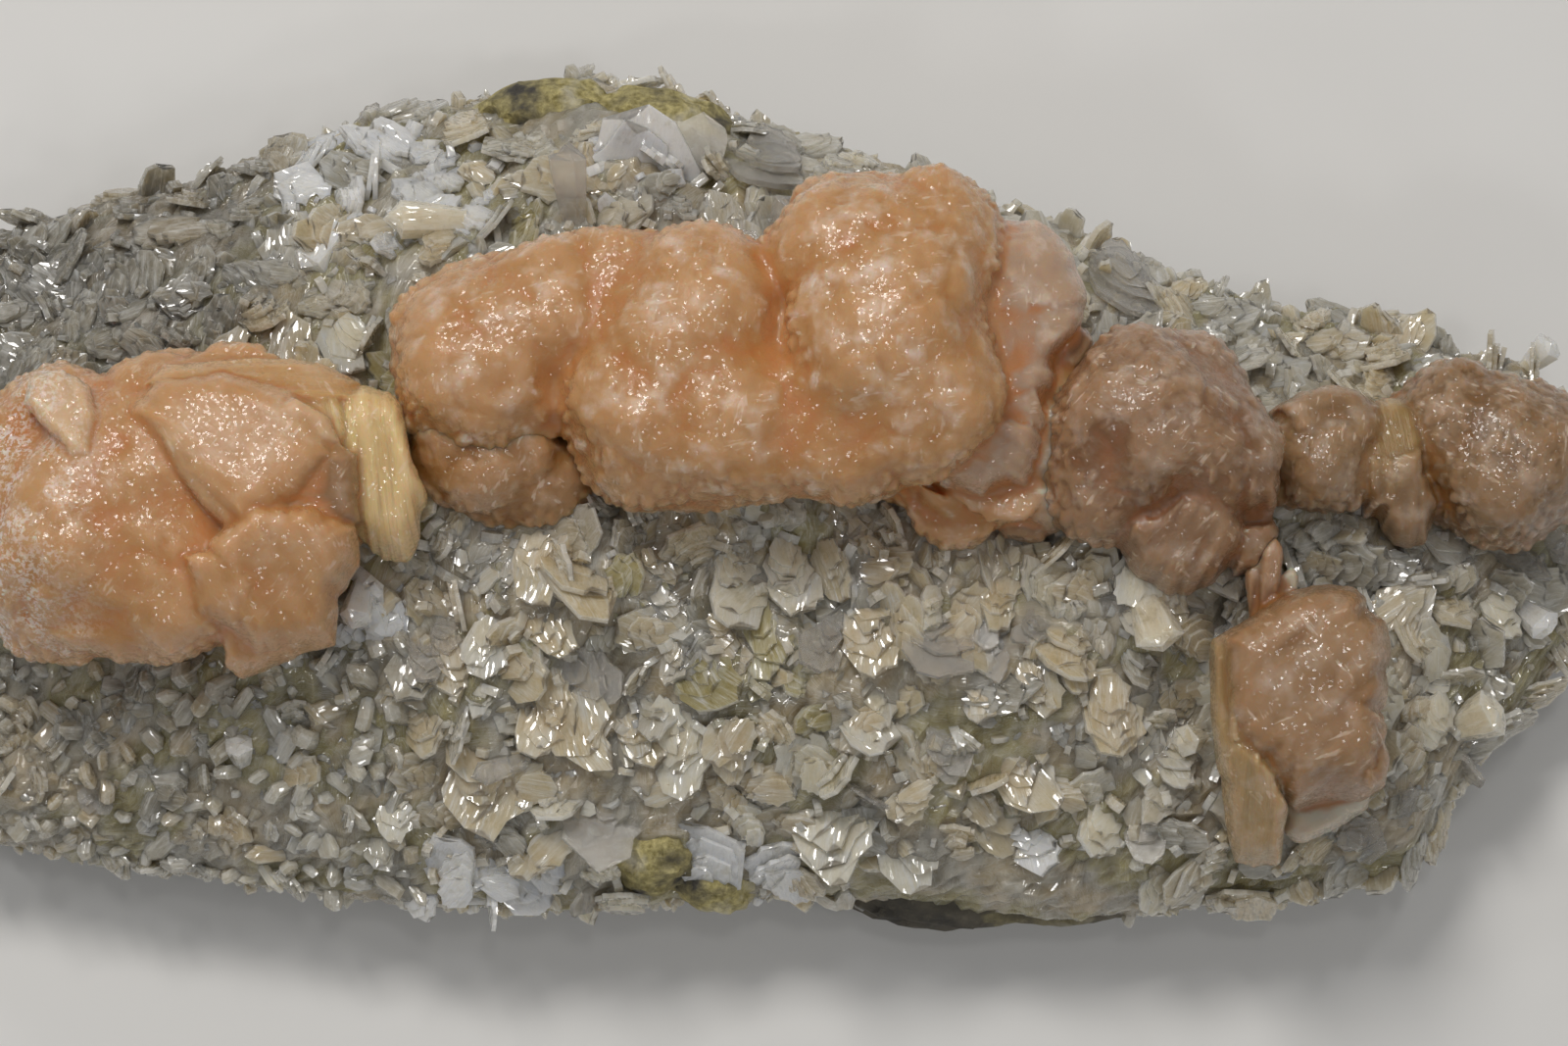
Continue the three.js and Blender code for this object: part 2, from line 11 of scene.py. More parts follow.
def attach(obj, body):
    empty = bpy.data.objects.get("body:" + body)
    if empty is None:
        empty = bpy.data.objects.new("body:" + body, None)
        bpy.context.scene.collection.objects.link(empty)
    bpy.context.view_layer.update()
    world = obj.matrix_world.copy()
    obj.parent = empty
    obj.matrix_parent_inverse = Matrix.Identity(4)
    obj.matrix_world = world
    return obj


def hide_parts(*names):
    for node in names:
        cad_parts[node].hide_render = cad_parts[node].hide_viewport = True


# The look of a stilbite specimen: peach crystal clusters, a crust of small pale crystals, dark basalt.
# Shapes are worked out in millimetres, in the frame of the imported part, and turned to metres at the end.

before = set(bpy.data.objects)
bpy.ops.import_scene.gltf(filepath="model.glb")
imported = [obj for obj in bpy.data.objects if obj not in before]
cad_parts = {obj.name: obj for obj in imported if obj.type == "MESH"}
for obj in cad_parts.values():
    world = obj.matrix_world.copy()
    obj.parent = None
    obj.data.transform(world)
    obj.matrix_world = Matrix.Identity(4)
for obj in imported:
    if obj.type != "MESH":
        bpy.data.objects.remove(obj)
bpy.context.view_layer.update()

MM = 0.001

# The hump of crust over the rock: half length, height of the rim, how much lower it is at the ends, the
# crust's thickness, how far it reaches out over the rock, and how far it hangs down at the rim.
HALF_LENGTH = 95.1
RIM_HEIGHT = 12.5
END_RIM_DROP = 3.5
CRUST_THICKNESS = 4.0
CRUST_OVERHANG = 3.0
CRUST_SKIRT = 3.5

# The rock's base as a share of its top, and how deep the stems of the masses stand in the crust.
BASE_SHARE = 0.84
STEM_SINK = 2.5

# The specimen's rim seen from above: x, y of the back edge, y of the front edge, height of the crown.
RIM = np.array([
    [-95.1, 2.2, -6.0, 14], [-93.3, 10.8, -18.7, 16], [-89.4, 21.5, -29.2, 19.5],
    [-82.6, 28.9, -36.3, 23.5], [-72.0, 31.4, -38.5, 26.5], [-61.2, 34.0, -40.2, 29],
    [-49.5, 38.4, -42.0, 31.5], [-37.0, 42.4, -43.3, 33], [-26.0, 44.2, -44.3, 34],
    [-15.7, 46.3, -44.3, 35], [-8.3, 44.4, -43.6, 35], [4.0, 40.2, -43.0, 34.7], [18.3, 35.6, -44.3, 34],
    [32.0, 30.5, -45.6, 32.8], [46.0, 24.7, -44.3, 31], [59.0, 20.3, -43.1, 27.5], [69.9, 19.9, -41.2, 24],
    [77.2, 15.9, -30.3, 21], [84.5, 15.1, -22.4, 17.5], [90.5, 9.5, -14.2, 14], [95.1, 0.1, -2.8, 11.5],
])

# Places where the rock shows through the crust: x, y, z of the middle, three half sizes, turn.
# The first ones are green with weathering.
BARE_ROCK = [
    (-21, 41.2, 15.5, 8, 4.2, 6.5, 6),
    (-8.5, 39.2, 16.5, 9, 4.5, 6.5, -14),
    (-9.2, -38.2, 17, 5.6, 5, 5.8, 20),
    (-3.0, -41.2, 13.5, 5, 3.6, 4.6, -10),
    (22, -42.6, 10.5, 11, 3.8, 3.4, -2),
    (35, -42.8, 10.2, 8, 3.2, 3.2, 3),
    (23.2, -21.5, 28.5, 3.4, 2.8, 4.4, 30),
]
MOSSY = 4

# The crystal masses.
# Material: its name and what differs from the usual stilbite.
# Relief: size and height of the knobs, height of the small facets, height of the upright ribs on the
# flanks, how often the core is smoothed.
# Balls: x, y, z of the middle, reach, azimuth and elevation of the axis, roll.
# Stems: x, y, height of the top, radius.
# Domes are broad lobes, soft all over; slabs are plates and blocks. Both are given as they are seen in the
# picture, in its pixels, with a height in millimetres: the middle, thickness, height of the crown, depth of
# the teeth on the rim, direction of the striations, then for slabs height of the ribs and colour, and the
# outline.
# Blades stand alone: root, tip, width, thickness, colour.
MASSES = [
    {"piece": "centre_stilbite_mass", "node": "centre_stilbite_cluster", "slot": "centre_stilbite",
     "material": {"name": "stilbite_peach", "cloud": 0.6},
     "colour": "peach", "relief": (5.0, 0.17, 0.022, 0.26, 24),
     "balls": [
         (-26.6, 8.8, 40.5, 9.9, 180, 65, 20), (-19.5, 13.0, 42.5, 8.6, 90, 80, 50),
         (-11.9, 14.5, 42.5, 8.2, 60, 65, 80), (-4.3, 12.9, 46, 9.0, 90, 75, 30),
         (-8.5, 3.2, 44.5, 9.6, 250, 65, 60), (-0.4, 2.4, 45, 9.5, 300, 60, 10),
         (12.2, 17.9, 46.5, 9.6, 110, 55, 75), (19.0, 19.3, 46.5, 8.6, 70, 55, 40),
         (14.1, 9.7, 49.5, 10.0, 90, 85, 15), (10.4, 3.0, 45, 9.6, 265, 55, 65),
         (18.1, 4.8, 48, 9.2, 290, 75, 35),
     ],
     "stems": [
         (-25.6, 9.0, 40, 7.6), (-12.5, 12.4, 42, 7.6), (-7.4, 3.2, 43, 8), (3.5, 9.0, 44, 8),
         (13.0, 13.2, 46, 9.5), (14.4, 3.4, 45, 8.8), (24.4, 4.6, 44, 7), (27.8, 14.5, 43, 6.4),
         (28.6, 6.5, 42.5, 6.2), (26.6, -1.0, 41, 6.6), (22.0, -4.6, 38, 5.4), (31.0, -0.5, 38, 4.6),
     ],
     "domes": [
         ((505, 345, 50.6), 8, 0, 0.1, 0, [
             (417, 350, 39), (425, 310, 39.5), (440, 275, 40), (470, 262, 41), (510, 255, 41.5),
             (560, 255, 42), (600, 243, 42.5), (640, 237, 43), (680, 240, 43.5), (650, 258, 45),
             (620, 290, 46), (595, 320, 46), (572, 355, 45.5), (565, 400, 44), (575, 440, 42),
             (560, 462, 41), (520, 466, 40), (480, 460, 39.5), (455, 445, 39), (430, 420, 39),
             (418, 385, 39)]),
         ((690, 365, 54.6), 8, 0, 0.15, 0, [
             (575, 440, 42.5), (566, 400, 44), (573, 360, 45), (590, 330, 45.5), (612, 298, 46),
             (642, 264, 45.5), (680, 246, 45), (715, 238, 44.5), (750, 236, 44.5), (780, 247, 45),
             (801, 268, 46), (808, 300, 47), (808, 350, 47), (812, 400, 46), (804, 450, 44), (788, 482, 42),
             (770, 505, 41), (745, 520, 40), (715, 526, 40), (685, 520, 40.5), (655, 522, 40),
             (625, 515, 40), (598, 500, 40.5), (583, 470, 41.5)]),
         ((905, 330, 58.2), 8, 0, 0.15, 0, [
             (808, 300, 47.5), (808, 268, 46), (822, 234, 45.5), (843, 213, 45), (862, 192, 44.5),
             (882, 184, 44), (905, 171, 43.5), (925, 178, 43.5), (945, 170, 43.5), (968, 168, 43.5),
             (988, 178, 44), (1003, 196, 45), (1015, 222, 46), (1019, 262, 47.5), (1021, 310, 48),
             (1015, 360, 48), (1002, 410, 47), (975, 444, 45.5), (950, 470, 43.5), (938, 498, 41),
             (905, 508, 40.5), (888, 518, 39.8), (866, 496, 41.5), (840, 490, 42), (812, 486, 42.5),
             (800, 470, 43.5), (812, 430, 45.5), (814, 380, 47)]),
     ],
     "slabs": [
         ((1040, 360, 48.0), 8, 0.3, 0.16, 12, 0.12, "pink", [
             (1017, 222, 43.8), (1058, 222, 43.0), (1080, 238, 42.8), (1094, 258, 42.8), (1103, 280, 42.8),
             (1109, 308, 42.8), (1105, 332, 43), (1096, 343, 43), (1085, 350, 43.2), (1078, 362, 43.4),
             (1073, 376, 43.4), (1077, 388, 43), (1070, 400, 43), (1064, 420, 42.6), (1069, 436, 42),
             (1062, 455, 41.8), (1050, 470, 41.8), (985, 470, 44.6), (968, 450, 46), (985, 400, 48),
             (1000, 350, 48.6), (1006, 300, 48.4), (1008, 255, 46.6)]),
         ((1012, 464, 46.8), 7, 0.3, 0.2, -24, 0.12, "pink", [
             (958, 470, 44.6), (978, 440, 46.4), (1000, 428, 46.6), (1036, 426, 45.4), (1062, 436, 43.2),
             (1066, 452, 42.2), (1058, 472, 41.6), (1047, 496, 40.6), (1032, 497, 40.4), (1016, 500, 40.2),
             (1004, 507, 40), (982, 502, 40.8), (960, 494, 41.8)]),
         ((1080, 450, 42.6), 6, 0.3, 0.2, -70, 0.1, "pink", [
             (1070, 412, 41.4), (1084, 409, 40.6), (1096, 416, 40), (1105, 436, 39.6), (1101, 454, 39.4),
             (1088, 480, 38.8), (1079, 494, 38.2), (1062, 500, 38.6), (1046, 494, 39.4), (1050, 450, 42)]),
         ((1066, 516, 39.6), 6, 0.3, 0.2, -35, 0.1, "pink", [
             (1031, 520, 38), (1050, 499, 39), (1079, 494, 38), (1099, 507, 36.4), (1100, 518, 36),
             (1085, 534, 35.4), (1073, 543, 35), (1050, 537, 35.6), (1031, 531, 36.4)]),
         ((985, 524, 38.8), 6, 0.3, 0.12, -40, 0.08, "peach", [
             (935, 494, 39.6), (962, 506, 39.6), (996, 512, 38.8), (1022, 524, 37.4), (1012, 540, 36.4),
             (1003, 553, 35.6), (993, 558, 35.2), (981, 555, 35.4), (957, 534, 36.4), (938, 512, 38)]),
         ((1046, 546, 35.8), 4, 0.2, 0.2, -60, 0.08, "salmon", [
             (1020, 530, 36), (1072, 540, 34.6), (1064, 554, 33.6), (1046, 552, 33.8), (1024, 548, 34.4)]),
         ((1097, 360, 42.0), 5, 0.5, 0.25, 60, 0.06, "salmon", [
             (1083, 356, 41), (1095, 338, 40.6), (1107, 335, 40.2), (1118, 350, 39.8), (1110, 368, 40),
             (1096, 384, 40.4), (1079, 373, 41)]),
         ((1104, 400, 41.0), 5, 0.4, 0.2, 30, 0.06, "salmon", [
             (1088, 384, 40.4), (1112, 376, 39.8), (1118, 398, 39.4), (1108, 418, 39.4), (1090, 410, 40)]),
     ]},
    {"piece": "tan_stilbite_ball", "node": "tan_stilbite_rosette", "slot": "tan_stilbite",
     "material": {"name": "stilbite_tan", "turn": 1.2, "cloud": 0.35, "painted_hollow_orange": (0.34, 0.14, 0.035, 1)},
     "colour": "tan", "relief": (3.4, 0.1, 0.04, 0.22, 20),
     "balls": [
         (-25.9, 0.8, 36.0, 8.2, 250, 55, 30), (-20.4, -1.5, 35.4, 6.0, 290, 40, 70),
     ],
     "stems": [
         (-25.0, 0.4, 37, 6.6),
     ],
     "slabs": [
         ((418, 396, 38.6), 1.8, 0.1, 0.15, 100, 0.08, "clear", [
             (404, 378, 37.4), (418, 370, 37.6), (436, 384, 38.2), (440, 420, 38.8), (424, 424, 38.2),
             (408, 404, 37.6)]),
         ((503, 488, 42.4), 7, 0, 0.18, -70, 0.08, "tan", [
             (414, 438, 37), (440, 424, 37.8), (500, 424, 38.4), (560, 430, 38), (584, 458, 37),
             (580, 486, 36), (566, 503, 34.6), (540, 518, 33.6), (512, 528, 33), (486, 536, 32.6),
             (462, 524, 33.4), (438, 508, 34.2), (420, 480, 35.6)]),
     ]},
    {"piece": "right_stilbite_mass", "node": "right_stilbite_rosette", "slot": "right_stilbite",
     "material": {"name": "stilbite_salmon", "turn": -0.5, "cloud": 0.35, "painted_hollow_orange": (0.36, 0.145, 0.058, 1)},
     "colour": "salmon", "relief": (3.8, 0.11, 0.05, 0.24, 20),
     "balls": [
         (41.0, 2.7, 41, 9.5, 80, 80, 45), (48.2, -0.2, 40, 7.2, 350, 60, 15),
         (45.9, 6.0, 37.5, 7.0, 50, 30, 60), (37.8, -2.0, 38.5, 7.8, 240, 40, 30),
     ],
     "stems": [
         (41.0, 1.0, 40, 7.6), (46.0, -3.0, 38, 6.5), (44.6, -7.0, 38, 4.8), (50.6, -5.0, 37.5, 4.6),
     ],
     "domes": [
         ((1186, 438, 50.2), 8, 0, 0.12, 0, [
             (1099, 430, 40.5), (1101, 385, 40), (1113, 352, 39.5), (1140, 341, 39), (1170, 336, 39),
             (1200, 342, 39), (1224, 358, 39.5), (1240, 384, 40.5), (1262, 402, 40), (1284, 424, 40),
             (1298, 455, 39.5), (1306, 490, 38.5), (1302, 518, 37.8), (1282, 528, 38), (1258, 524, 39),
             (1232, 518, 39.5), (1204, 520, 39.5), (1180, 540, 38.5), (1150, 546, 37.5), (1122, 541, 37.5),
             (1106, 520, 38.5), (1097, 480, 40)]),
     ],
     "slabs": [
         ((1236, 380, 41.6), 6, 0.3, 0.12, -60, 0.08, "pink", [
             (1192, 350, 39.8), (1208, 337, 39.4), (1234, 339, 39), (1247, 363, 38.6), (1267, 401, 38.2),
             (1262, 440, 40), (1214, 400, 42)]),
         ((1205, 556, 41.8), 8, 0.2, 0.2, 60, 0.14, "salmon", [
             (1132, 538, 38), (1158, 588, 35.6), (1172, 592, 35.4), (1192, 609, 34.8), (1206, 606, 34.8),
             (1234, 598, 34.8), (1246, 587, 35.2), (1267, 566, 36), (1277, 548, 36.6), (1262, 520, 39.4),
             (1234, 500, 41.4), (1205, 500, 41.6), (1170, 526, 40.0)]),
         ((1280, 562, 38.0), 6, 0.3, 0.3, 40, 0.1, "salmon", [
             (1262, 540, 38), (1300, 530, 35.6), (1306, 546, 34.8), (1292, 566, 34.4), (1280, 584, 34),
             (1258, 588, 34.4), (1254, 566, 36)]),
         ((1235, 450, 48.2), 4, 0.3, 0.15, -88, 0.08, "salmon", [
             (1226, 388, 44), (1243, 392, 43.2), (1247, 440, 45.8), (1244, 500, 42.8), (1232, 512, 42),
             (1224, 450, 47)]),
         ((1257, 460, 46.6), 4, 0.3, 0.15, -88, 0.08, "salmon", [
             (1248, 394, 42.4), (1262, 404, 42), (1266, 450, 44.4), (1263, 516, 41), (1251, 518, 41.4),
             (1248, 450, 45.6)]),
         ((1285, 470, 44.6), 6, 0.3, 0.3, -88, 0.1, "salmon", [
             (1267, 410, 41), (1288, 427, 40.4), (1302, 452, 39.8), (1309, 490, 38.8), (1303, 515, 38.4),
             (1285, 522, 39.2), (1268, 520, 40), (1269, 460, 44)]),
     ]},
    {"piece": "bow_tie_stilbite_mass", "node": "bow_tie_stilbite_sheaf", "slot": "bow_tie_stilbite",
     "material": {"name": "stilbite_honey", "turn": 1.4, "cloud": 0.3, "painted_hollow_orange": (0.33, 0.14, 0.035, 1)},
     "colour": "honey", "relief": (2.8, 0.1, 0.05, 0.24, 20),
     "balls": [
         (60.0, 0.5, 32, 6.2, 100, 75, 20), (80.3, 0.9, 28.5, 9.2, 60, 80, 65),
         (74.2, 4.6, 29, 7.0, 150, 45, 25),
     ],
     "stems": [
         (60.6, 0.0, 31, 5.2), (68.0, 3.0, 30, 4.6), (78.0, 0.0, 29, 7.4),
     ],
     "slabs": [
         ((1360, 424, 36.4), 6, 0.2, 0.1, 90, 0.06, "honey", [
             (1293, 420, 31.4), (1319, 402, 31.6), (1357, 391, 31.6), (1389, 399, 31.4), (1411, 416, 31.2),
             (1418, 440, 31.4), (1411, 459, 32), (1389, 466, 33), (1380, 448, 35), (1357, 440, 36),
             (1334, 440, 35.4), (1311, 448, 34)]),
         ((1430, 508, 33.4), 6, 0.2, 0.25, -86, 0.14, "honey", [
             (1388, 462, 32.6), (1448, 460, 32), (1454, 485, 31), (1468, 516, 28.8), (1461, 535, 27.8),
             (1455, 555, 27), (1438, 559, 26.8), (1423, 553, 27), (1407, 539, 27.8), (1405, 527, 28.4),
             (1391, 526, 28.8), (1387, 496, 31)]),
         ((1420, 450, 34.8), 5, 0.2, 0.25, -80, 0.2, "straw", [
             (1384, 470, 32.8), (1388, 436, 32.8), (1402, 410, 31.4), (1428, 405, 31), (1449, 420, 31.4),
             (1455, 450, 32), (1448, 486, 32.2), (1420, 500, 33), (1395, 492, 32.6)]),
     ]},
    {"piece": "barrel_stilbite_mass", "node": "barrel_stilbite_sheaf", "slot": "barrel_stilbite",
     "material": {"name": "stilbite_amber", "turn": -0.9, "cloud": 0.3, "painted_hollow_orange": (0.38, 0.15, 0.042, 1)},
     "colour": "amber", "relief": (3.4, 0.1, 0.04, 0.2, 20),
     "balls": [
         (57.3, -22.8, 34.0, 7.8, 20, 72, 88), (59.3, -27.9, 32.0, 6.8, 320, 50, 80),
     ],
     "stems": [
         (57.4, -25.0, 35, 7.6),
     ],
     "slabs": [
         ((1328, 700, 42.8), 9, 0, 0.12, 40, 0.1, "amber", [
             (1240, 650, 37.6), (1269, 632, 37.6), (1290, 621, 37.4), (1313, 604, 37), (1337, 599, 36.8),
             (1357, 597, 36.6), (1384, 600, 36.4), (1394, 611, 36.6), (1393, 620, 37), (1413, 634, 36.4),
             (1418, 649, 36.2), (1421, 672, 36), (1415, 687, 36.4), (1419, 705, 35.8), (1414, 719, 35.6),
             (1406, 731, 36), (1417, 741, 35), (1412, 757, 35), (1417, 775, 34), (1412, 802, 33),
             (1390, 817, 32), (1357, 817, 32), (1322, 828, 31.6), (1313, 816, 33), (1293, 797, 34.6),
             (1266, 776, 36), (1254, 760, 36), (1244, 728, 36.6), (1240, 672, 37.2)]),
         ((1247, 700, 39.6), 6, 0.2, 0.08, -86, 0.2, "straw", [
             (1234, 652, 37), (1252, 648, 39), (1260, 700, 39.6), (1266, 770, 38), (1254, 800, 36.4),
             (1244, 790, 34.6), (1236, 728, 36)]),
         ((1283, 822, 35.8), 8, 0.2, 0.12, -88, 0.24, "straw", [
             (1243, 752, 36.4), (1258, 748, 38.6), (1284, 768, 39.0), (1300, 790, 37.6), (1313, 822, 34.6),
             (1311, 838, 33), (1306, 884, 26.8), (1281, 885, 26.6), (1262, 880, 27), (1250, 840, 30.6)]),
         ((1350, 826, 30.0), 3.5, 0.3, 0.2, 25, 0.12, "clear", [
             (1310, 812, 30), (1352, 800, 30.6), (1400, 806, 28.6), (1396, 826, 27), (1372, 842, 26.4),
             (1345, 856, 26), (1322, 862, 26), (1310, 850, 27)]),
         ((1398, 775, 38.4), 5, 0.3, 0.2, -80, 0.08, "amber", [
             (1380, 732, 38.4), (1404, 728, 36.6), (1417, 742, 35.4), (1412, 757, 35.2), (1417, 776, 34.2),
             (1412, 802, 33.2), (1394, 812, 33.2), (1384, 780, 37)]),
     ],
     "blades": [
         ((1290, 640, 35), (1301, 546, 37.6), 2.7, 2.0, "salmon"),
         ((1282, 640, 34), (1281, 572, 36.4), 2.3, 1.8, "salmon"),
         ((1312, 640, 34), (1318, 574, 35.6), 1.9, 1.5, "clear"),
     ]},
    {"piece": "left_stilbite_mass", "node": "left_stilbite_cluster", "slot": "left_stilbite",
     "material": {"name": "stilbite_frosted", "turn": 0.9, "cloud": 0.2, "frost": 0.95},
     "colour": "peach", "relief": (6.5, 0.28, 0.025, 0.26, 80),
     "balls": [
         (-57.8, -0.5, 39, 10.6, 100, 70, 35), (-66.8, -8.3, 38, 12.2, 150, 80, 70),
         (-75.7, -4.9, 35, 9.6, 190, 45, 20), (-69.5, -14.1, 35, 7.8, 240, 40, 55),
         (-57.5, -12.4, 39.5, 9.6, 270, 60, 15), (-70.0, 2.9, 37.5, 7.0, 110, 55, 60),
     ],
     "stems": [
         (-57.6, -1.4, 38, 8.6), (-66.0, -8.4, 38, 9.5), (-74.0, -5.6, 34, 7.5), (-56.0, -11.6, 39, 7.6),
         (-41.0, 2.0, 42, 4.6), (-47.5, -5.5, 45.5, 7.4), (-51.0, 4.0, 44.5, 7.0), (-41.0, -5.5, 39, 4.8),
         (-52.5, -13.0, 43, 6.6),
     ],
     "slabs": [
         ((235, 452, 50.9), 7, 0.5, 0.1, -35, 0.06, "peach", [
             (126, 420, 46.5), (158, 386, 45.8), (230, 378, 46.6), (300, 398, 47.6), (336, 430, 48),
             (352, 470, 47.4), (310, 512, 48.4), (252, 550, 48.4), (190, 492, 48.8)]),
         ((326, 492, 49.2), 7, 0.35, 0.08, 2, 0.08, "amber", [
             (288, 452, 49), (345, 455, 48.6), (364, 462, 47.6), (366, 531, 45.8), (335, 541, 46.4),
             (288, 522, 47.8)]),
         ((313, 430, 50.4), 3.5, 0.3, 0.08, 12, 0.05, "pale", [
             (268, 418, 50), (300, 404, 49.6), (336, 424, 49.2), (347, 452, 48.6), (320, 458, 49.2),
             (285, 446, 50)]),
         ((287, 590, 48.6), 9, 0.5, 0.14, -60, 0.1, "peach", [
             (212, 556, 48.2), (256, 514, 48.6), (322, 516, 47.6), (364, 539, 45.6), (369, 576, 43.6),
             (346, 603, 43.8), (343, 659, 39.6), (300, 668, 40), (262, 672, 40.6), (222, 642, 43.6)]),
         ((224, 598, 49.0), 5, 0.4, 0.12, -68, 0.1, "peach", [
             (186, 566, 48.4), (240, 556, 49.6), (264, 600, 48.2), (244, 646, 45), (203, 626, 46)]),
         ((262, 655, 43.2), 6, 0.3, 0.15, -75, 0.08, "peach", [
             (224, 640, 43.6), (290, 634, 43.6), (302, 669, 40), (244, 693, 37.6), (227, 679, 39.6)]),
         ((120, 632, 44.0), 7, 0.6, 0.34, 5, 0.16, "peach", [
             (18, 598, 41.4), (60, 575, 45), (200, 592, 46), (224, 655, 41.6), (200, 669, 39.6),
             (150, 677, 39), (90, 668, 39), (40, 656, 38.6), (20, 632, 39.6)]),
         ((68, 420, 48.6), 3.2, 0.25, 0.1, -70, 0.06, "pale", [
             (24, 411, 46.0), (33, 381, 45.4), (62, 376, 45.6), (92, 393, 45.8), (104, 426, 46.4),
             (93, 469, 48.4), (75, 467, 48.8), (45, 434, 48)]),
         ((250, 386, 47.6), 7, 0.3, 0.12, 2, 0.22, "apricot", [
             (134, 394, 45), (160, 372, 44.2), (250, 366, 43.8), (332, 373, 43.2), (370, 391, 42.6),
             (374, 410, 43.8), (345, 414, 46), (300, 408, 48.2), (200, 398, 48.4)]),
         ((391, 470, 45.8), 9, 0.2, 0.16, -84, 0.24, "cream", [
             (348, 412, 43.8), (353, 399, 42.8), (383, 395, 42.4), (408, 411, 42.8), (411, 440, 44.4),
             (420, 472, 44.2), (434, 502, 42.4), (430, 521, 41.6), (424, 548, 40), (417, 569, 39),
             (392, 570, 39), (372, 552, 40.6), (357, 538, 41.8), (368, 520, 44), (364, 468, 46),
             (344, 450, 45.4)]),
         ((212, 492, 50.6), 4, 0.3, 0.05, -48, 0.04, "pale", [
             (150, 428, 49.0), (172, 434, 50.0), (212, 474, 50.2), (246, 518, 49.6), (258, 550, 48.6),
             (240, 548, 48.4), (206, 514, 48.8), (172, 470, 49.0)]),
         ((325, 424, 48.0), 5, 0.2, 0.1, -80, 0.12, "cream", [
             (290, 402, 46.2), (346, 399, 45.4), (354, 440, 46.4), (346, 463, 46.8), (310, 452, 47.6),
             (296, 425, 47.8)]),
     ]},
]

# Fans of the crust that stand out: root and tip in the picture, plates, colour.
FEATURE_FANS = [
    (587, 522, 592, 640, 5, "sand"), (560, 540, 540, 620, 4, "sand"), (812, 560, 815, 626, 5, "ivory"),
    (842, 560, 862, 612, 4, "sand"), (772, 560, 738, 640, 5, "ivory"), (880, 618, 905, 690, 5, "sand"),
    (850, 640, 826, 682, 4, "clear"), (575, 700, 600, 792, 5, "sand"), (565, 720, 535, 770, 4, "sand"),
    (700, 735, 690, 815, 5, "ivory"), (822, 796, 812, 752, 4, "ivory"), (850, 802, 856, 892, 5, "ivory"),
    (622, 800, 600, 884, 4, "clear"), (880, 700, 886, 776, 5, "ivory"), (965, 748, 975, 802, 4, "clear"),
    (1040, 765, 1060, 832, 5, "sand"), (950, 590, 962, 700, 4, "clear"), (1040, 852, 1080, 884, 5, "white"),
    (795, 905, 790, 866, 4, "white"), (655, 236, 642, 118, 4, "white"), (690, 180, 720, 128, 4, "clear"),
    (1150, 600, 1176, 650, 4, "ivory"), (1075, 640, 1092, 700, 5, "sand"),
    (1130, 700, 1150, 770, 5, "sand"), (1010, 640, 1015, 692, 4, "clear"), (500, 640, 492, 690, 4, "ivory"),
    (445, 640, 432, 700, 5, "clear"), (500, 760, 492, 850, 5, "sand"), (410, 800, 402, 862, 4, "ivory"),
    (372, 640, 378, 596, 4, "white"), (445, 900, 470, 862, 4, "white"), (720, 905, 716, 850, 4, "white"),
    (920, 850, 930, 905, 4, "ivory"), (1160, 820, 1180, 880, 5, "clear"),
    (1190, 760, 1215, 806, 4, "ivory"), (1450, 620, 1430, 668, 4, "sand"),
    (1520, 610, 1548, 650, 4, "ivory"), (1420, 350, 1462, 328, 4, "sand"),
    (1200, 300, 1232, 286, 4, "sand"), (1140, 270, 1160, 312, 4, "clear"), (420, 150, 380, 128, 4, "white"),
    (330, 200, 280, 180, 4, "white"), (205, 300, 160, 312, 4, "grey"), (250, 345, 210, 362, 4, "sand"),
    (345, 330, 352, 372, 4, "ivory"), (880, 170, 846, 160, 4, "ivory"), (760, 150, 800, 190, 4, "clear"),
]

# Blades of the crust that stand out: root in the picture, azimuth, elevation, length, width, thickness.
FEATURE_BLADES = [
    (492, 226, 182, 14, 10.5, 4.2, 2.6, "ivory"), (348, 232, 232, 12, 6.5, 4.6, 2.6, "white"),
    (585, 228, 95, 34, 9.0, 4.6, 2.2, "clear"), (372, 590, 262, 30, 6.4, 3.4, 2.4, "white"),
    (280, 640, 250, 28, 6.0, 3.2, 2.4, "sand"), (1168, 610, 285, 34, 7.4, 5.2, 1.8, "ivory"),
    (1228, 752, 200, 52, 4.6, 3.4, 2.8, "ivory"), (1488, 742, 20, 44, 5.8, 5.4, 2.8, "ivory"),
    (1552, 620, 310, 45, 5.4, 3.8, 2.2, "white"), (790, 240, 60, 50, 5.6, 3.4, 1.2, "clear"),
    (540, 775, 200, 20, 6.6, 2.6, 1.6, "clear"), (246, 776, 90, 60, 3.4, 3.0, 2.6, "white"),
    (1560, 372, 40, 40, 4.0, 3.6, 2.4, "white"), (1430, 840, 80, 40, 5.0, 2.4, 2.0, "clear"),
]

# Zones of the crust by colour: middle in the picture, half sizes, colour, share of the crystals.
ZONES = [
    (400, 200, 13, 9, "white", 0.75), (650, 170, 6, 7, "white", 0.7), (745, 870, 7, 5, "white", 0.7),
    (1060, 860, 6, 4, "white", 0.7), (380, 615, 5, 4, "white", 0.7), (500, 895, 9, 3, "white", 0.6),
    (530, 260, 4, 8, "olive", 0.6), (640, 610, 9, 4, "olive", 0.45), (760, 700, 9, 6, "olive", 0.35),
    (410, 340, 5, 6, "olive", 0.5), (560, 730, 7, 5, "sand", 0.6), (1180, 800, 10, 10, "ivory", 0.5),
    (1500, 720, 8, 8, "ivory", 0.5), (880, 700, 14, 8, "sand", 0.5), (560, 850, 12, 6, "ivory", 0.5),
]
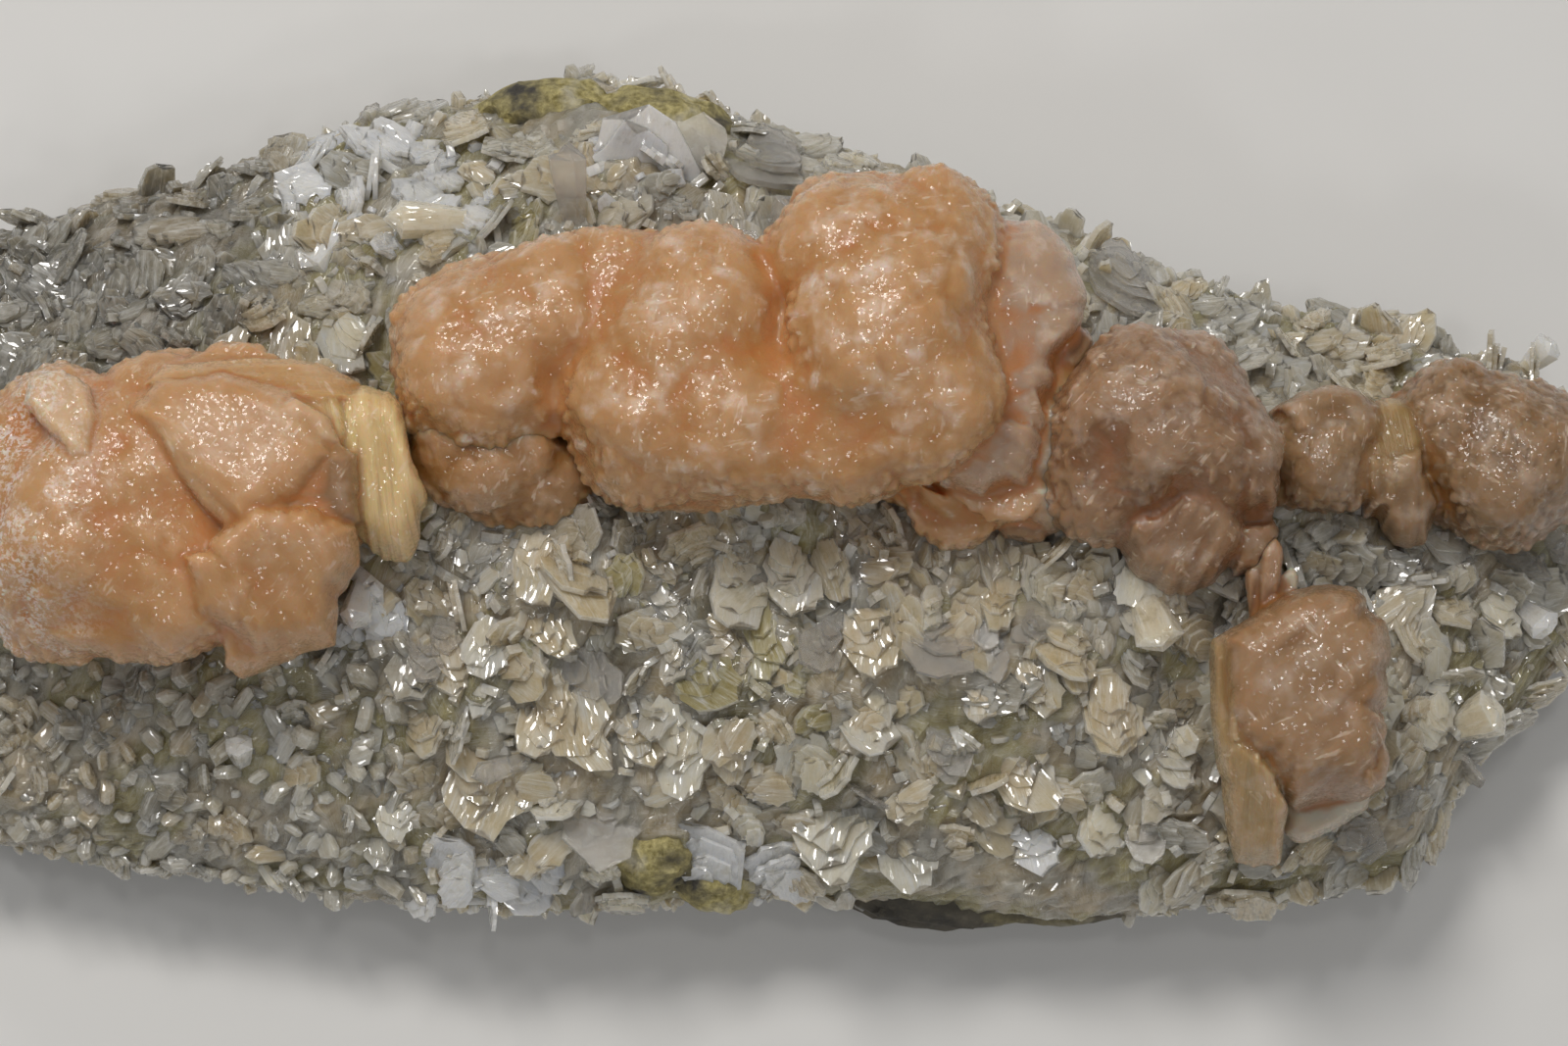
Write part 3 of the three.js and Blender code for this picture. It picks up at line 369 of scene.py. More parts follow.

# Colours of the crystals, as light that they give back: red, green, blue. Salmon, honey and amber, on the
# masses at the right, are partly their own colour and partly painted shade for the light falling off to the
# right.
TINTS = {
    "peach": (0.52, 0.262, 0.09), "pink": (0.49, 0.325, 0.225), "tan": (0.33, 0.15, 0.036),
    "salmon": (0.235, 0.113, 0.046), "honey": (0.2, 0.1, 0.032), "straw": (0.34, 0.215, 0.068),
    "amber": (0.27, 0.128, 0.038), "apricot": (0.55, 0.305, 0.105), "cream": (0.72, 0.53, 0.24),
    "pale": (0.6, 0.39, 0.215), "clear": (0.47, 0.43, 0.34), "white": (0.86, 0.84, 0.79),
    "grey": (0.36, 0.335, 0.27), "sand": (0.58, 0.465, 0.29), "ivory": (0.7, 0.62, 0.46),
    "olive": (0.34, 0.29, 0.12),
}

# How much the striations show in a colour, and in all others.
FIBROUS = {"cream": 0.5, "straw": 0.6, "apricot": 0.25}
PLAIN_FIBRE = 0.05

# A ball is round up to this angle from its middle plane, and has a cap of this share of its reach beyond.
BALL_FAN = 62
BALL_POLE = 0.92

# Voxels of a mass's core and of its skin, the share of the skin's faces that is kept, the width of a weld
# between two growths, and a distance beyond any weld.
CORE_VOXEL = 0.5
SKIN_VOXEL = 0.30
SKIN_KEEP = 0.5
WELD = 0.45
FAR = 9.0

# How often a skin is smoothed, and the two rates of smoothing that tell its crests from its hollows.
SKIN_ROUNDS = 2
SMALL_ROUNDS = 12
LARGE_ROUNDS = 80

# How far one round of smoothing draws the core in, in voxels, which it is grown by again.
DRAWN_IN = 0.0035

# A lobe and a plate: how far its outline is smoothed, power of its dome, power of the rise to its rim.
LOBE = (4, 3, 2)
PLATE = (0, 7, 5)

# Height of the ribs on the blades that stand alone, and the step in phase from one ball to the next.
BLADE_RIBS = 0.05
PHASE_STEP = 1.7

# The crust's crystals: the seed of their chances, the least gap between the tilted stacks and between the
# chips and how many places are tried, the shares of upright stacks and of clear ones, the spacing and the
# levels of the crystals along the rim.
CRUST_SEED = 2024
STACK_GAP = 3.2
STACK_TRIES = 12000
CHIP_GAP = 2.0
CHIP_TRIES = 60000
UPRIGHT_SHARE = 0.26
CLEAR_SHARE = 0.06
RIM_GAP = 1.7
RIM_LEVELS = (0.4, -1.2, -2.7)

# The darker stretch of crust at the far left: where it starts, how wide it fades, how dark it gets.
DARK_LEFT = -44
DARK_FADE = 12
DARK_SHARE = 0.52

# The camera: the point it looks at, distances in millimetres, and the picture's size.
CAMERA_TARGET = np.array([4.5, -7.5, 39.0])
CAMERA_DISTANCE = 500.0
CAMERA_ELEVATION = math.radians(80)
FRAME_WIDTH = 160.0
PIXELS = (1600, 1067)

# The lamps, in metres: places of the soft boxes, their size and power, the point that every lamp looks at.
SOFT_BOXES = [
    (-0.42, 0.18, 0.66), (0.30, 0.34, 0.70), (0.05, 0.02, 0.86), (-0.46, -0.30, 0.55), (0.44, -0.20, 0.58),
    (0.02, -0.50, 0.60), (-0.25, 0.60, 0.45),
]
SOFT_BOX_SIZE = 0.075
SOFT_BOX_POWER = 0.26
LAMP_TARGET = (0, 0, 0.03)
FLOOR_HALF = 1.2

# Whites on the crystals: cloudy patches, short strokes, frost, and silky streaks that are partly white
# fibres and partly painted sheen.
CLOUD_WHITE = (0.88, 0.77, 0.68, 1)
STROKE_WHITE = (0.90, 0.76, 0.62, 1)
FROST_WHITE = (0.95, 0.93, 0.90, 1)
FIBRE_AND_SHEEN_WHITE = (0.92, 0.90, 0.85, 1)


def seen_at(px, py, z):
    """The point of a height, in millimetres, that the camera sees at a pixel of the picture."""
    forward = np.array([0, math.cos(CAMERA_ELEVATION), -math.sin(CAMERA_ELEVATION)])
    up = np.array([0, math.sin(CAMERA_ELEVATION), math.cos(CAMERA_ELEVATION)])
    eye = CAMERA_TARGET - forward * CAMERA_DISTANCE
    size = FRAME_WIDTH / PIXELS[0]
    ray = forward * CAMERA_DISTANCE + np.array([1, 0, 0]) * (px - PIXELS[0] / 2) * size
    ray = ray + up * (PIXELS[1] / 2 - py) * size
    return eye + ray * ((z - eye[2]) / ray[2])


def unit(v):
    return v / np.maximum(np.linalg.norm(v, axis=-1, keepdims=True), 1e-12)


def dots(a, b):
    return np.einsum("ij,ij->i", a, b)


def heading(azimuth, elevation):
    """The direction at two angles in radians."""
    level = math.cos(elevation)
    return np.array([level * math.cos(azimuth), level * math.sin(azimuth), math.sin(elevation)])


def ease(t):
    t = np.clip(t, 0, 1)
    return t * t * (3 - 2 * t)


# Chance and noise

def chance(i, j, k, seed):
    """Chance values from 0 to 1 for whole-number places."""
    h = i.astype(np.uint64) * np.uint64(374761393) + j.astype(np.uint64) * np.uint64(668265263)
    h = h + k.astype(np.uint64) * np.uint64(1274126177) + np.uint64(seed * 362437 + 17)
    h = (h ^ (h >> np.uint64(13))) * np.uint64(1103515245) & np.uint64(0xFFFFFFFF)
    h = (h ^ (h >> np.uint64(16))) * np.uint64(2246822519) & np.uint64(0xFFFFFFFF)
    h = h ^ (h >> np.uint64(15))
    return h.astype(float) / 4294967296.0


def noise(p, seed=0):
    """Smooth noise from -1 to 1, one swell about every unit."""
    base = np.floor(p).astype(np.int64)
    f = p - base
    f = f * f * (3 - 2 * f)
    total = np.zeros(len(p))
    for step in product((0, 1), repeat=3):
        x, y, z = np.where(step, f, 1 - f).T
        total += x * y * z * chance(*(base + step).T, seed)
    return 2 * total - 1


def layered(p, seed=0, layers=3):
    total = np.zeros(len(p))
    for i in range(layers):
        total += noise(p * 2.03 ** i + 11.3 * i, seed + i) * 0.5 ** i
    return total


def cells(p, seed=0):
    """Distances to the nearest two of scattered centres, the way to the nearest, its chance."""
    base = np.floor(p).astype(np.int64)
    first = second = np.full(len(p), np.inf)
    way = np.zeros_like(p)
    pick = np.zeros(len(p))
    for step in product((-1, 0, 1), repeat=3):
        cell = (base + step).T
        gap = p - np.stack([cell[axis] + chance(*cell, seed + axis) for axis in range(3)], axis=1)
        d = np.linalg.norm(gap, axis=1)
        nearer = d < first
        second = np.where(nearer, first, np.minimum(second, d))
        way[nearer] = gap[nearer]
        pick = np.where(nearer, chance(*cell, seed + 3), pick)
        first = np.where(nearer, d, first)
    return first, second, way, pick


def tilt_of(pick):
    """A chance direction for each cell."""
    return np.stack([np.sin(pick * 91.7), np.cos(pick * 57.3), np.sin(pick * 133.1 + 2)], axis=1)


# Ground

def rim_at(x):
    x = np.clip(x, -HALF_LENGTH, HALF_LENGTH)
    back = np.interp(x, RIM[:, 0], RIM[:, 1])
    front = np.interp(x, RIM[:, 0], RIM[:, 2])
    crown = np.interp(x, RIM[:, 0], RIM[:, 3])
    rim = RIM_HEIGHT - END_RIM_DROP * np.abs(x / HALF_LENGTH) ** 6
    return back, front, crown, rim


def swell(x, y):
    return (1.1 * np.sin(x * 0.21 + 1.3) * np.cos(y * 0.27 + 0.4) + 0.8 * np.sin(x * 0.09 - y * 0.17 + 2.1)
            + 0.5 * np.sin(x * 0.47 + y * 0.39))


def surface_height(x, y):
    back, front, crown, rim = rim_at(x)
    v = np.minimum(1, np.abs((y - (back + front) / 2) / ((back - front) / 2)))
    dome = (1 - v ** 2.2) ** 0.7
    return rim + (crown - rim) * dome + swell(x, y) * np.minimum(1, dome * 1.6)


def surface_normal(x, y):
    step = 1.0
    dx = (surface_height(x + step, y) - surface_height(x - step, y)) / (2 * step)
    dy = (surface_height(x, y + step) - surface_height(x, y - step)) / (2 * step)
    return unit(np.stack([-dx, -dy, np.ones_like(dx)], axis=-1))


def ground_at(x, y):
    """Height and normal of the crust's ground at one place."""
    x, y = np.array(x), np.array(y)
    return float(surface_height(x, y)), surface_normal(x, y)


# Meshes

def volume_of(verts, faces):
    a, b, c = verts[faces[:, 0]], verts[faces[:, 1]], verts[faces[:, 2]]
    return float(dots(a, np.cross(b, c)).sum() / 6)


def outward(verts, faces):
    return faces if volume_of(verts, faces) > 0 else faces[:, ::-1].copy()


def merged(solids):
    verts, faces, offset = [], [], 0
    for v, f in solids:
        verts.append(v)
        faces.append(f + offset)
        offset += len(v)
    return np.concatenate(verts), np.concatenate(faces)


def mesh_from(name, verts, faces, ids=None):
    mesh = bpy.data.meshes.new(name)
    mesh.vertices.add(len(verts))
    mesh.vertices.foreach_set("co", (verts * MM).astype(np.float32).ravel())
    mesh.loops.add(faces.size)
    mesh.loops.foreach_set("vertex_index", faces.astype(np.int32).ravel())
    mesh.polygons.add(len(faces))
    mesh.polygons.foreach_set("loop_start", np.arange(0, faces.size, 3, dtype=np.int32))
    mesh.polygons.foreach_set("loop_total", np.full(len(faces), 3, np.int32))
    mesh.update(calc_edges=True)
    if ids is not None:
        attribute = mesh.attributes.new("source", "INT", "FACE")
        attribute.data.foreach_set("value", np.asarray(ids, np.int32))
    return mesh


def evaluated(obj):
    graph = bpy.context.evaluated_depsgraph_get()
    return bpy.data.meshes.new_from_object(obj.evaluated_get(graph))


def show(obj):
    bpy.context.scene.collection.objects.link(obj)


def read(data, field, kind, width=1):
    """One field of every element, in rows where it has a width."""
    values = np.zeros(len(data) * width, kind)
    data.foreach_get(field, values)
    return values.reshape(-1, width) if width > 1 else values


def points_of(mesh):
    """Points in millimetres."""
    return read(mesh.vertices, "co", np.float32, 3).astype(float) / MM


def grown_together(solids, voxel, keep=1.0):
    """One skin round solids that overlap, thinned out to a share of its faces where it is flat."""
    verts, faces = merged(solids)
    obj = bpy.data.objects.new("growing", mesh_from("growing", verts, faces))
    show(obj)
    remesh = obj.modifiers.new("skin", "REMESH")
    remesh.mode = "VOXEL"
    remesh.voxel_size = voxel * MM
    if keep < 1:
        thin = obj.modifiers.new("thin", "DECIMATE")
        thin.ratio = keep
    skin = evaluated(obj)
    bpy.data.objects.remove(obj)
    skin.calc_loop_triangles()
    verts, faces = points_of(skin), read(skin.loop_triangles, "vertices", np.int32, 3)
    bpy.data.meshes.remove(skin)
    return verts, faces


def united(name, solids):
    """Solids joined in one by a union. Each face keeps the number of the solid that it comes from."""
    holder = bpy.data.collections.new("joining")
    bpy.context.scene.collection.children.link(holder)
    objects = []
    for i, (verts, faces) in enumerate(solids):
        mesh = mesh_from("joining", verts, faces, np.full(len(faces), i))
        objects.append(bpy.data.objects.new("joining", mesh))
    base = objects[0]
    show(base)
    for obj in objects[1:]:
        holder.objects.link(obj)
    if len(objects) > 1:
        join = base.modifiers.new("join", "BOOLEAN")
        join.operation = "UNION"
        join.solver = "MANIFOLD"
        join.operand_type = "COLLECTION"
        join.collection = holder
    mesh = evaluated(base)
    mesh.validate()
    mesh.name = name
    for obj in objects:
        old = obj.data
        bpy.data.objects.remove(obj)
        bpy.data.meshes.remove(old)
    bpy.data.collections.remove(holder)
    return mesh


def corners_of(mesh):
    """For each face corner its vertex, its face and the number of the solid that it comes from."""
    totals = read(mesh.polygons, "loop_total", np.int32)
    face = np.repeat(np.arange(len(totals)), totals)
    source = read(mesh.attributes["source"].data, "value", np.int32)
    return read(mesh.loops, "vertex_index", np.int32), face, source[face]


def normals_of(verts, faces):
    a, b, c = verts[faces[:, 0]], verts[faces[:, 1]], verts[faces[:, 2]]
    flat = np.cross(b - a, c - a)
    total = np.zeros_like(verts)
    for corner in range(3):
        for axis in range(3):
            total[:, axis] += np.bincount(faces[:, corner], flat[:, axis], len(verts))
    return unit(total)


def relaxed(verts, faces, rounds):
    """Points drawn towards the middle of their neighbours."""
    one = np.concatenate([faces[:, 0], faces[:, 1], faces[:, 2]])
    two = np.concatenate([faces[:, 1], faces[:, 2], faces[:, 0]])
    count = np.bincount(one, minlength=len(verts)).astype(float)
    for _ in range(rounds):
        mean = np.stack([np.bincount(one, verts[two, axis], len(verts)) for axis in range(3)], axis=1)
        verts = verts + 0.5 * (mean / count[:, None] - verts)
    return verts


def put(mesh, name, values, kind, domain="POINT"):
    """An attribute of numbers, vectors or colours."""
    attribute = mesh.attributes.new(name, kind, domain)
    field = {"FLOAT": "value", "FLOAT_VECTOR": "vector", "FLOAT_COLOR": "color"}[kind]
    if kind == "FLOAT_COLOR":
        values = np.column_stack([values, np.ones(len(values))])
    attribute.data.foreach_set(field, values.astype(np.float32).ravel())


def piece(name, mesh, material, node):
    obj = bpy.data.objects.new(name, mesh)
    show(obj)
    mesh.materials.clear()
    mesh.materials.append(material)
    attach(obj, "root")
    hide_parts(node)


# Rosettes

def axes_of(azimuth, elevation, roll):
    az, el, turn = math.radians(azimuth), math.radians(elevation), math.radians(roll)
    a = heading(az, el)
    u = np.array([-math.sin(el) * math.cos(az), -math.sin(el) * math.sin(az), math.cos(el)])
    s = np.array([-math.sin(az), math.cos(az), 0.0])
    n = u * math.cos(turn) + s * math.sin(turn)
    return a, n, np.cross(n, a)


def reach_at(reach, phase, fan, stack):
    return reach * (1 + 0.045 * np.sin(2.6 * fan + phase) * np.cos(2 * stack + 0.7 * phase)
                    + 0.035 * np.sin(4.3 * fan - 2 * stack + 2 * phase)
                    + 0.02 * np.cos(5 * stack + 3.1 * fan + phase))


def ball_reach(reach, phase, fan, stack):
    edge = math.radians(BALL_FAN)
    blend = ease((np.abs(fan) - edge) / (math.pi / 2 - edge))
    held = np.clip(fan, -edge, edge)
    return reach_at(reach, phase, held, stack) * (1 - blend) + BALL_POLE * reach * blend


def ball_solid(row, phase):
    """The closed form of one round rosette."""
    x, y, z, reach, azimuth, elevation, roll = row
    a, n, w = axes_of(azimuth, elevation, roll)
    rows, columns = 64, 33
    theta = np.arange(rows) * 2 * np.pi / rows
    phi = np.linspace(-np.pi / 2, np.pi / 2, columns + 2)[1:-1]
    t, p = np.meshgrid(theta, phi, indexing="ij")
    r = ball_reach(reach, phase, p, t)[..., None]
    ring = np.cos(t)[..., None] * a + np.sin(t)[..., None] * n
    points = r * (np.cos(p)[..., None] * ring + np.sin(p)[..., None] * w)
    verts = np.concatenate([points.reshape(-1, 3), [-w * BALL_POLE * reach, w * BALL_POLE * reach]])
    faces = []
    low, high = rows * columns, rows * columns + 1
    for i in range(rows):
        here, there = i * columns, ((i + 1) % rows) * columns
        j = np.arange(columns - 1)
        faces.append(np.stack([here + j, here + j + 1, there + j], axis=1))
        faces.append(np.stack([here + j + 1, there + j + 1, there + j], axis=1))
        faces.append(np.array([[low, here, there], [high, there + columns - 1, here + columns - 1]]))
    verts = verts + np.array([x, y, z])
    faces = np.concatenate(faces)
    return verts, outward(verts, faces)


def stem_solid(stem):
    x, y, top, radius = stem
    foot = ground_at(x, y)[0] - STEM_SINK
    levels, around = 14, 24
    angle = np.arange(around) * 2 * np.pi / around
    rings = []
    for i in range(levels):
        t = i / (levels - 1)
        wave = 0.05 * np.sin(5 * angle + x) + 0.04 * np.sin(3 * angle + 7 * t + y)
        size = radius * (0.8 + 0.2 * t) * (1 + wave)
        rings.append(np.stack([x + np.cos(angle) * size, y + np.sin(angle) * size,
                               np.full(around, foot + (top - foot) * t)], axis=1))
    return closed_loft(rings)


def closed_loft(rings):
    """A closed skin over rings that all have the same number of points."""
    count, last = len(rings[0]), (len(rings) - 1) * len(rings[0])
    verts = np.concatenate(rings + [rings[0].mean(0)[None], rings[-1].mean(0)[None]])
    i = np.arange(count)
    j = (i + 1) % count
    faces = []
    for r in range(len(rings) - 1):
        a, b = r * count + i, r * count + j
        faces += [np.stack([a, b, a + count], axis=1), np.stack([b, b + count, a + count], axis=1)]
    low, high = len(verts) - 2, len(verts) - 1
    faces += [np.stack([np.full(count, low), j, i], axis=1),
              np.stack([np.full(count, high), last + i, last + j], axis=1)]
    faces = np.concatenate(faces)
    return verts, outward(verts, faces)


def lobe_coordinates(points, balls, stems):
    """For each point the ball or stem that it belongs to, and its place in that one's own axes."""
    best = np.full(len(points), np.inf)
    owner = np.zeros(len(points), np.int64)
    local = np.zeros_like(points)
    for i, (row, phase) in enumerate(balls):
        x, y, z, reach, azimuth, elevation, roll = row
        a, n, w = axes_of(azimuth, elevation, roll)
        gap = points - np.array([x, y, z])
        own = np.stack([gap @ a, gap @ n, gap @ w], axis=1)
        length = np.maximum(np.linalg.norm(gap, axis=1), 1e-6)
        fan = np.arcsin(np.clip(own[:, 2] / length, -1, 1))
        share = length / ball_reach(reach, phase, fan, np.arctan2(own[:, 1], own[:, 0]))
        nearer = share < best
        best[nearer], owner[nearer], local[nearer] = share[nearer], i, own[nearer]
    for i, (x, y, top, radius) in enumerate(stems):
        gap = points - np.array([x, y, top])
        share = np.hypot(gap[:, 0], gap[:, 1]) / radius + 0.08 + np.maximum(0, gap[:, 2]) * 9
        nearer = share < best
        best[nearer], owner[nearer], local[nearer] = share[nearer], len(balls) + i, gap[nearer]
    return owner, local


def relief_of(points, normal, look):
    """Height of the knobs, facets and flank ribs on the round parts of a mass."""
    knob, knob_height, facet_height, rib_height, _ = look
    p = points / knob
    bend = 0.35 * np.stack([noise(p * 1.3, 5), noise(p * 1.3, 6), noise(p * 1.3, 7)], axis=1)
    first = cells(p + bend, 31)[0]
    height = knob_height * (1.1 - 2.8 * first ** 2)
    first, second, way, pick = cells(p * 2.3 + bend, 57)
    small = ease((second - first) * 1.8)
    height += facet_height * (2 * small - 1 + 1.4 * dots(way, tilt_of(pick)))
    first, second = cells(points / np.array([1.5, 1.5, 5.0]), 73)[:2]
    flank = ease((0.75 - np.abs(normal[:, 2])) / 0.5)
    height += flank * rib_height * (1.6 * ease((second - first) * 2) - 0.8)
    return height + 0.42 * layered(points / 6.0, 19, 3) + 0.02 * noise(points / 0.7, 91)


def blade_solid(origin, along, across, length, width, thickness, root, tip, lean=0.0):
    """A flat crystal with bevelled long edges and a chisel end. Its own axes come back with it."""
    along, across = unit(along), unit(across - along * (across @ along) / (along @ along))
    normal = np.cross(along, across)
    rings = []
    for x, share in ((0.0, root), (0.45, 0.62 + 0.38 * root), (0.82, 1.0)):
        wide, thick = width * share / 2, thickness * (0.35 + 0.65 * share) / 2
        at, bevel = x * length, wide * 0.62
        rings.append([(at, wide, 0), (at, bevel, thick), (at, -bevel, thick),
                      (at, -wide, 0), (at, -bevel, -thick), (at, bevel, -thick)])
    end = length * (1 - 0.18 * tip)
    wide, thick = width / 2, thickness / 2
    rings.append([(end + lean, wide * 0.55, 0), (end, wide * 0.42, thick * 0.5),
                  (length, -wide * 0.05, thick * 0.42), (end - lean, -wide * 0.55, 0),
                  (length, -wide * 0.05, -thick * 0.42), (end, wide * 0.42, -thick * 0.5)])
    verts, faces = closed_loft([np.array(ring) for ring in rings])
    basis = np.stack([along, across, normal])
    return (verts @ basis + origin, faces), (origin, basis)


def slab_from(row, soft, power, bend):
    """A plate, block or lobe with its own outline: a smooth dome over a plane, notched at the rim."""
    middle, thick, crown, teeth, direction = row[:5]
    outline = row[-1]
    centre = seen_at(*middle)
    corners = [seen_at(*corner) for corner in outline]
    edge = []
    for a, b in zip(corners, corners[1:] + corners[:1]):
        count = max(2, round(float(np.linalg.norm(b - a)) / 0.4))
        edge += [a + (b - a) * i / count for i in range(count)]
    edge = np.array(edge)
    edge = np.stack([np.roll(edge, shift, axis=0) for shift in range(-soft, soft + 1)]).mean(0)
    notch = 2.4 * np.abs(noise(edge * np.array([0.7, 0.7, 0.0]) + direction, 3)) - 0.8
    edge = edge + unit((edge - centre) * np.array([1, 1, 0])) * (teeth * notch)[:, None]
    fit = np.linalg.lstsq(np.column_stack([edge[:, :2], np.ones(len(edge))]), edge[:, 2], rcond=None)[0]

    def plane(points):
        return points[:, :2] @ fit[:2] + fit[2]

    top = centre[2] + crown - plane(centre[None])[0]
    rest = edge[:, 2] - plane(edge)
    rings = []
    for share, drop in ((0.5, thick), (0.84, thick * 0.6), (0.97, 1.3), (1.0, 0.55)):
        rings.append(centre + (edge - centre) * share)
        rings[-1][:, 2] = edge[:, 2] - drop
    for share in (0.985, 0.95, 0.9, 0.83, 0.74, 0.63, 0.51, 0.38, 0.25, 0.12):
        ring = centre + (edge - centre) * share
        ring[:, 2] = plane(ring) + rest * share ** bend + top * (1 - share ** power)
        rings.append(ring)
    grain = np.array([math.cos(math.radians(direction)), math.sin(math.radians(direction)), 0])
    basis = np.stack([grain, np.array([-grain[1], grain[0], 0]), np.array([0, 0, 1.0])])
    return closed_loft(rings), (centre, basis)


def blade_from(row):
    root, tip, width, thick, _ = row
    start, end = seen_at(*root), seen_at(*tip)
    along = unit(end - start)
    across = np.cross(np.array([0, 0, 1.0]), along)
    length = float(np.linalg.norm(end - start))
    return blade_solid(start, along, across, length, width, thick, root=0.7, tip=0.5, lean=0.1)


def gap_to(points, solid):
    """How far each point is from the skin of a solid, where that is less than the width of a weld."""
    verts, faces = solid
    limit = 3 * WELD
    near = ((points > verts.min(0) - limit) & (points < verts.max(0) + limit)).all(axis=1)
    tree = BVHTree.FromPolygons(verts.tolist(), faces.tolist())
    gap = np.full(len(points), FAR)
    for i in np.flatnonzero(near):
        found = tree.find_nearest(points[i], limit)[3]
        gap[i] = FAR if found is None else found
    return gap


def cluster(mass, first_seed):
    """One grown-together mass: a soft core of lobes with plates, blocks and blades welded into it."""
    look, stems = mass["relief"], mass["stems"]
    balls = [(row, (first_seed + i) * PHASE_STEP) for i, row in enumerate(mass["balls"])]
    soft = [ball_solid(row, phase) for row, phase in balls] + [stem_solid(stem) for stem in stems]
    soft += [slab_from(row, *LOBE)[0] for row in mass.get("domes", [])]
    verts, faces = grown_together(soft, CORE_VOXEL)
    verts = relaxed(verts, faces, look[4])
    verts = verts + normals_of(verts, faces) * DRAWN_IN * look[4] * CORE_VOXEL
    core = (verts, outward(verts, faces))
    plates = [(*slab_from(row, *PLATE), row[5], row[6]) for row in mass["slabs"]]
    plates += [(*blade_from(row), BLADE_RIBS, row[4]) for row in mass.get("blades", [])]
    verts, faces = grown_together([core] + [plate[0] for plate in plates], SKIN_VOXEL, SKIN_KEEP)
    faces = outward(verts, faces)
    verts = relaxed(verts, faces, SKIN_ROUNDS)

    # How much each point belongs to each plate, and last to the core
    gaps = np.stack([gap_to(verts, plate[0]) for plate in plates] + [np.full(len(verts), FAR)])
    close = np.flatnonzero(gaps.min(0) < FAR)
    gaps[-1] = 0
    gaps[-1, close] = gap_to(verts[close], core)
    weight = np.exp(-(gaps / WELD) ** 2) + 1e-9
    weight /= weight.sum(0)
    owner, local = lobe_coordinates(verts, balls, stems)
    tint = weight.T @ np.array([TINTS[plate[3]] for plate in plates] + [TINTS[mass["colour"]]])
    fibre = weight.T @ np.array([FIBROUS.get(plate[3], PLAIN_FIBRE) for plate in plates] + [PLAIN_FIBRE])
    which = weight.argmax(0)

    size = np.maximum(np.linalg.norm(local, axis=1), 1e-6)
    strand = np.stack([size, np.arcsin(np.clip(local[:, 2] / size, -1, 1)) * 9.0, owner * 5.3], axis=1)
    ribs = np.zeros(len(verts))
    for k, (_, (origin, basis), height, _) in enumerate(plates):
        mine = which == k
        own = (verts[mine] - origin) @ basis.T
        strand[mine] = own * np.array([1, 1, 0]) + np.array([0, 0, 3.7 * k + 40])
        ribs[mine] = height
    normal = normals_of(verts, faces)
    lines = strand / np.array([9, 1, 1])
    plate_height = ribs * 1.3 * layered(lines, 5, 2) + 0.14 * layered(verts / 4.0, 23, 3)
    height = weight[-1] * relief_of(verts, normal, look) + (1 - weight[-1]) * plate_height
    verts = verts + normal * height[:, None]
    normal = normals_of(verts, faces)
    # How far each point stands out of its smoothed surroundings, at two sizes: the material paints the
    # crests paler as a painted highlight and the hollows deep orange as painted shade.
    flatter = relaxed(verts, faces, SMALL_ROUNDS)
    small = dots(verts - flatter, normal)
    large = dots(verts - relaxed(flatter, faces, LARGE_ROUNDS), normal)

    mesh = mesh_from(mass["piece"], verts, faces)
    put(mesh, "strand", strand, "FLOAT_VECTOR")
    put(mesh, "tint", tint, "FLOAT_COLOR")
    put(mesh, "crest", np.clip(0.42 + small / 0.45 + large / 1.2, 0, 1), "FLOAT")
    put(mesh, "fibre", fibre, "FLOAT")
    material = stilbite_material(**mass["material"])
    piece(mass["piece"], mesh, material, mass["node"])


# Materials

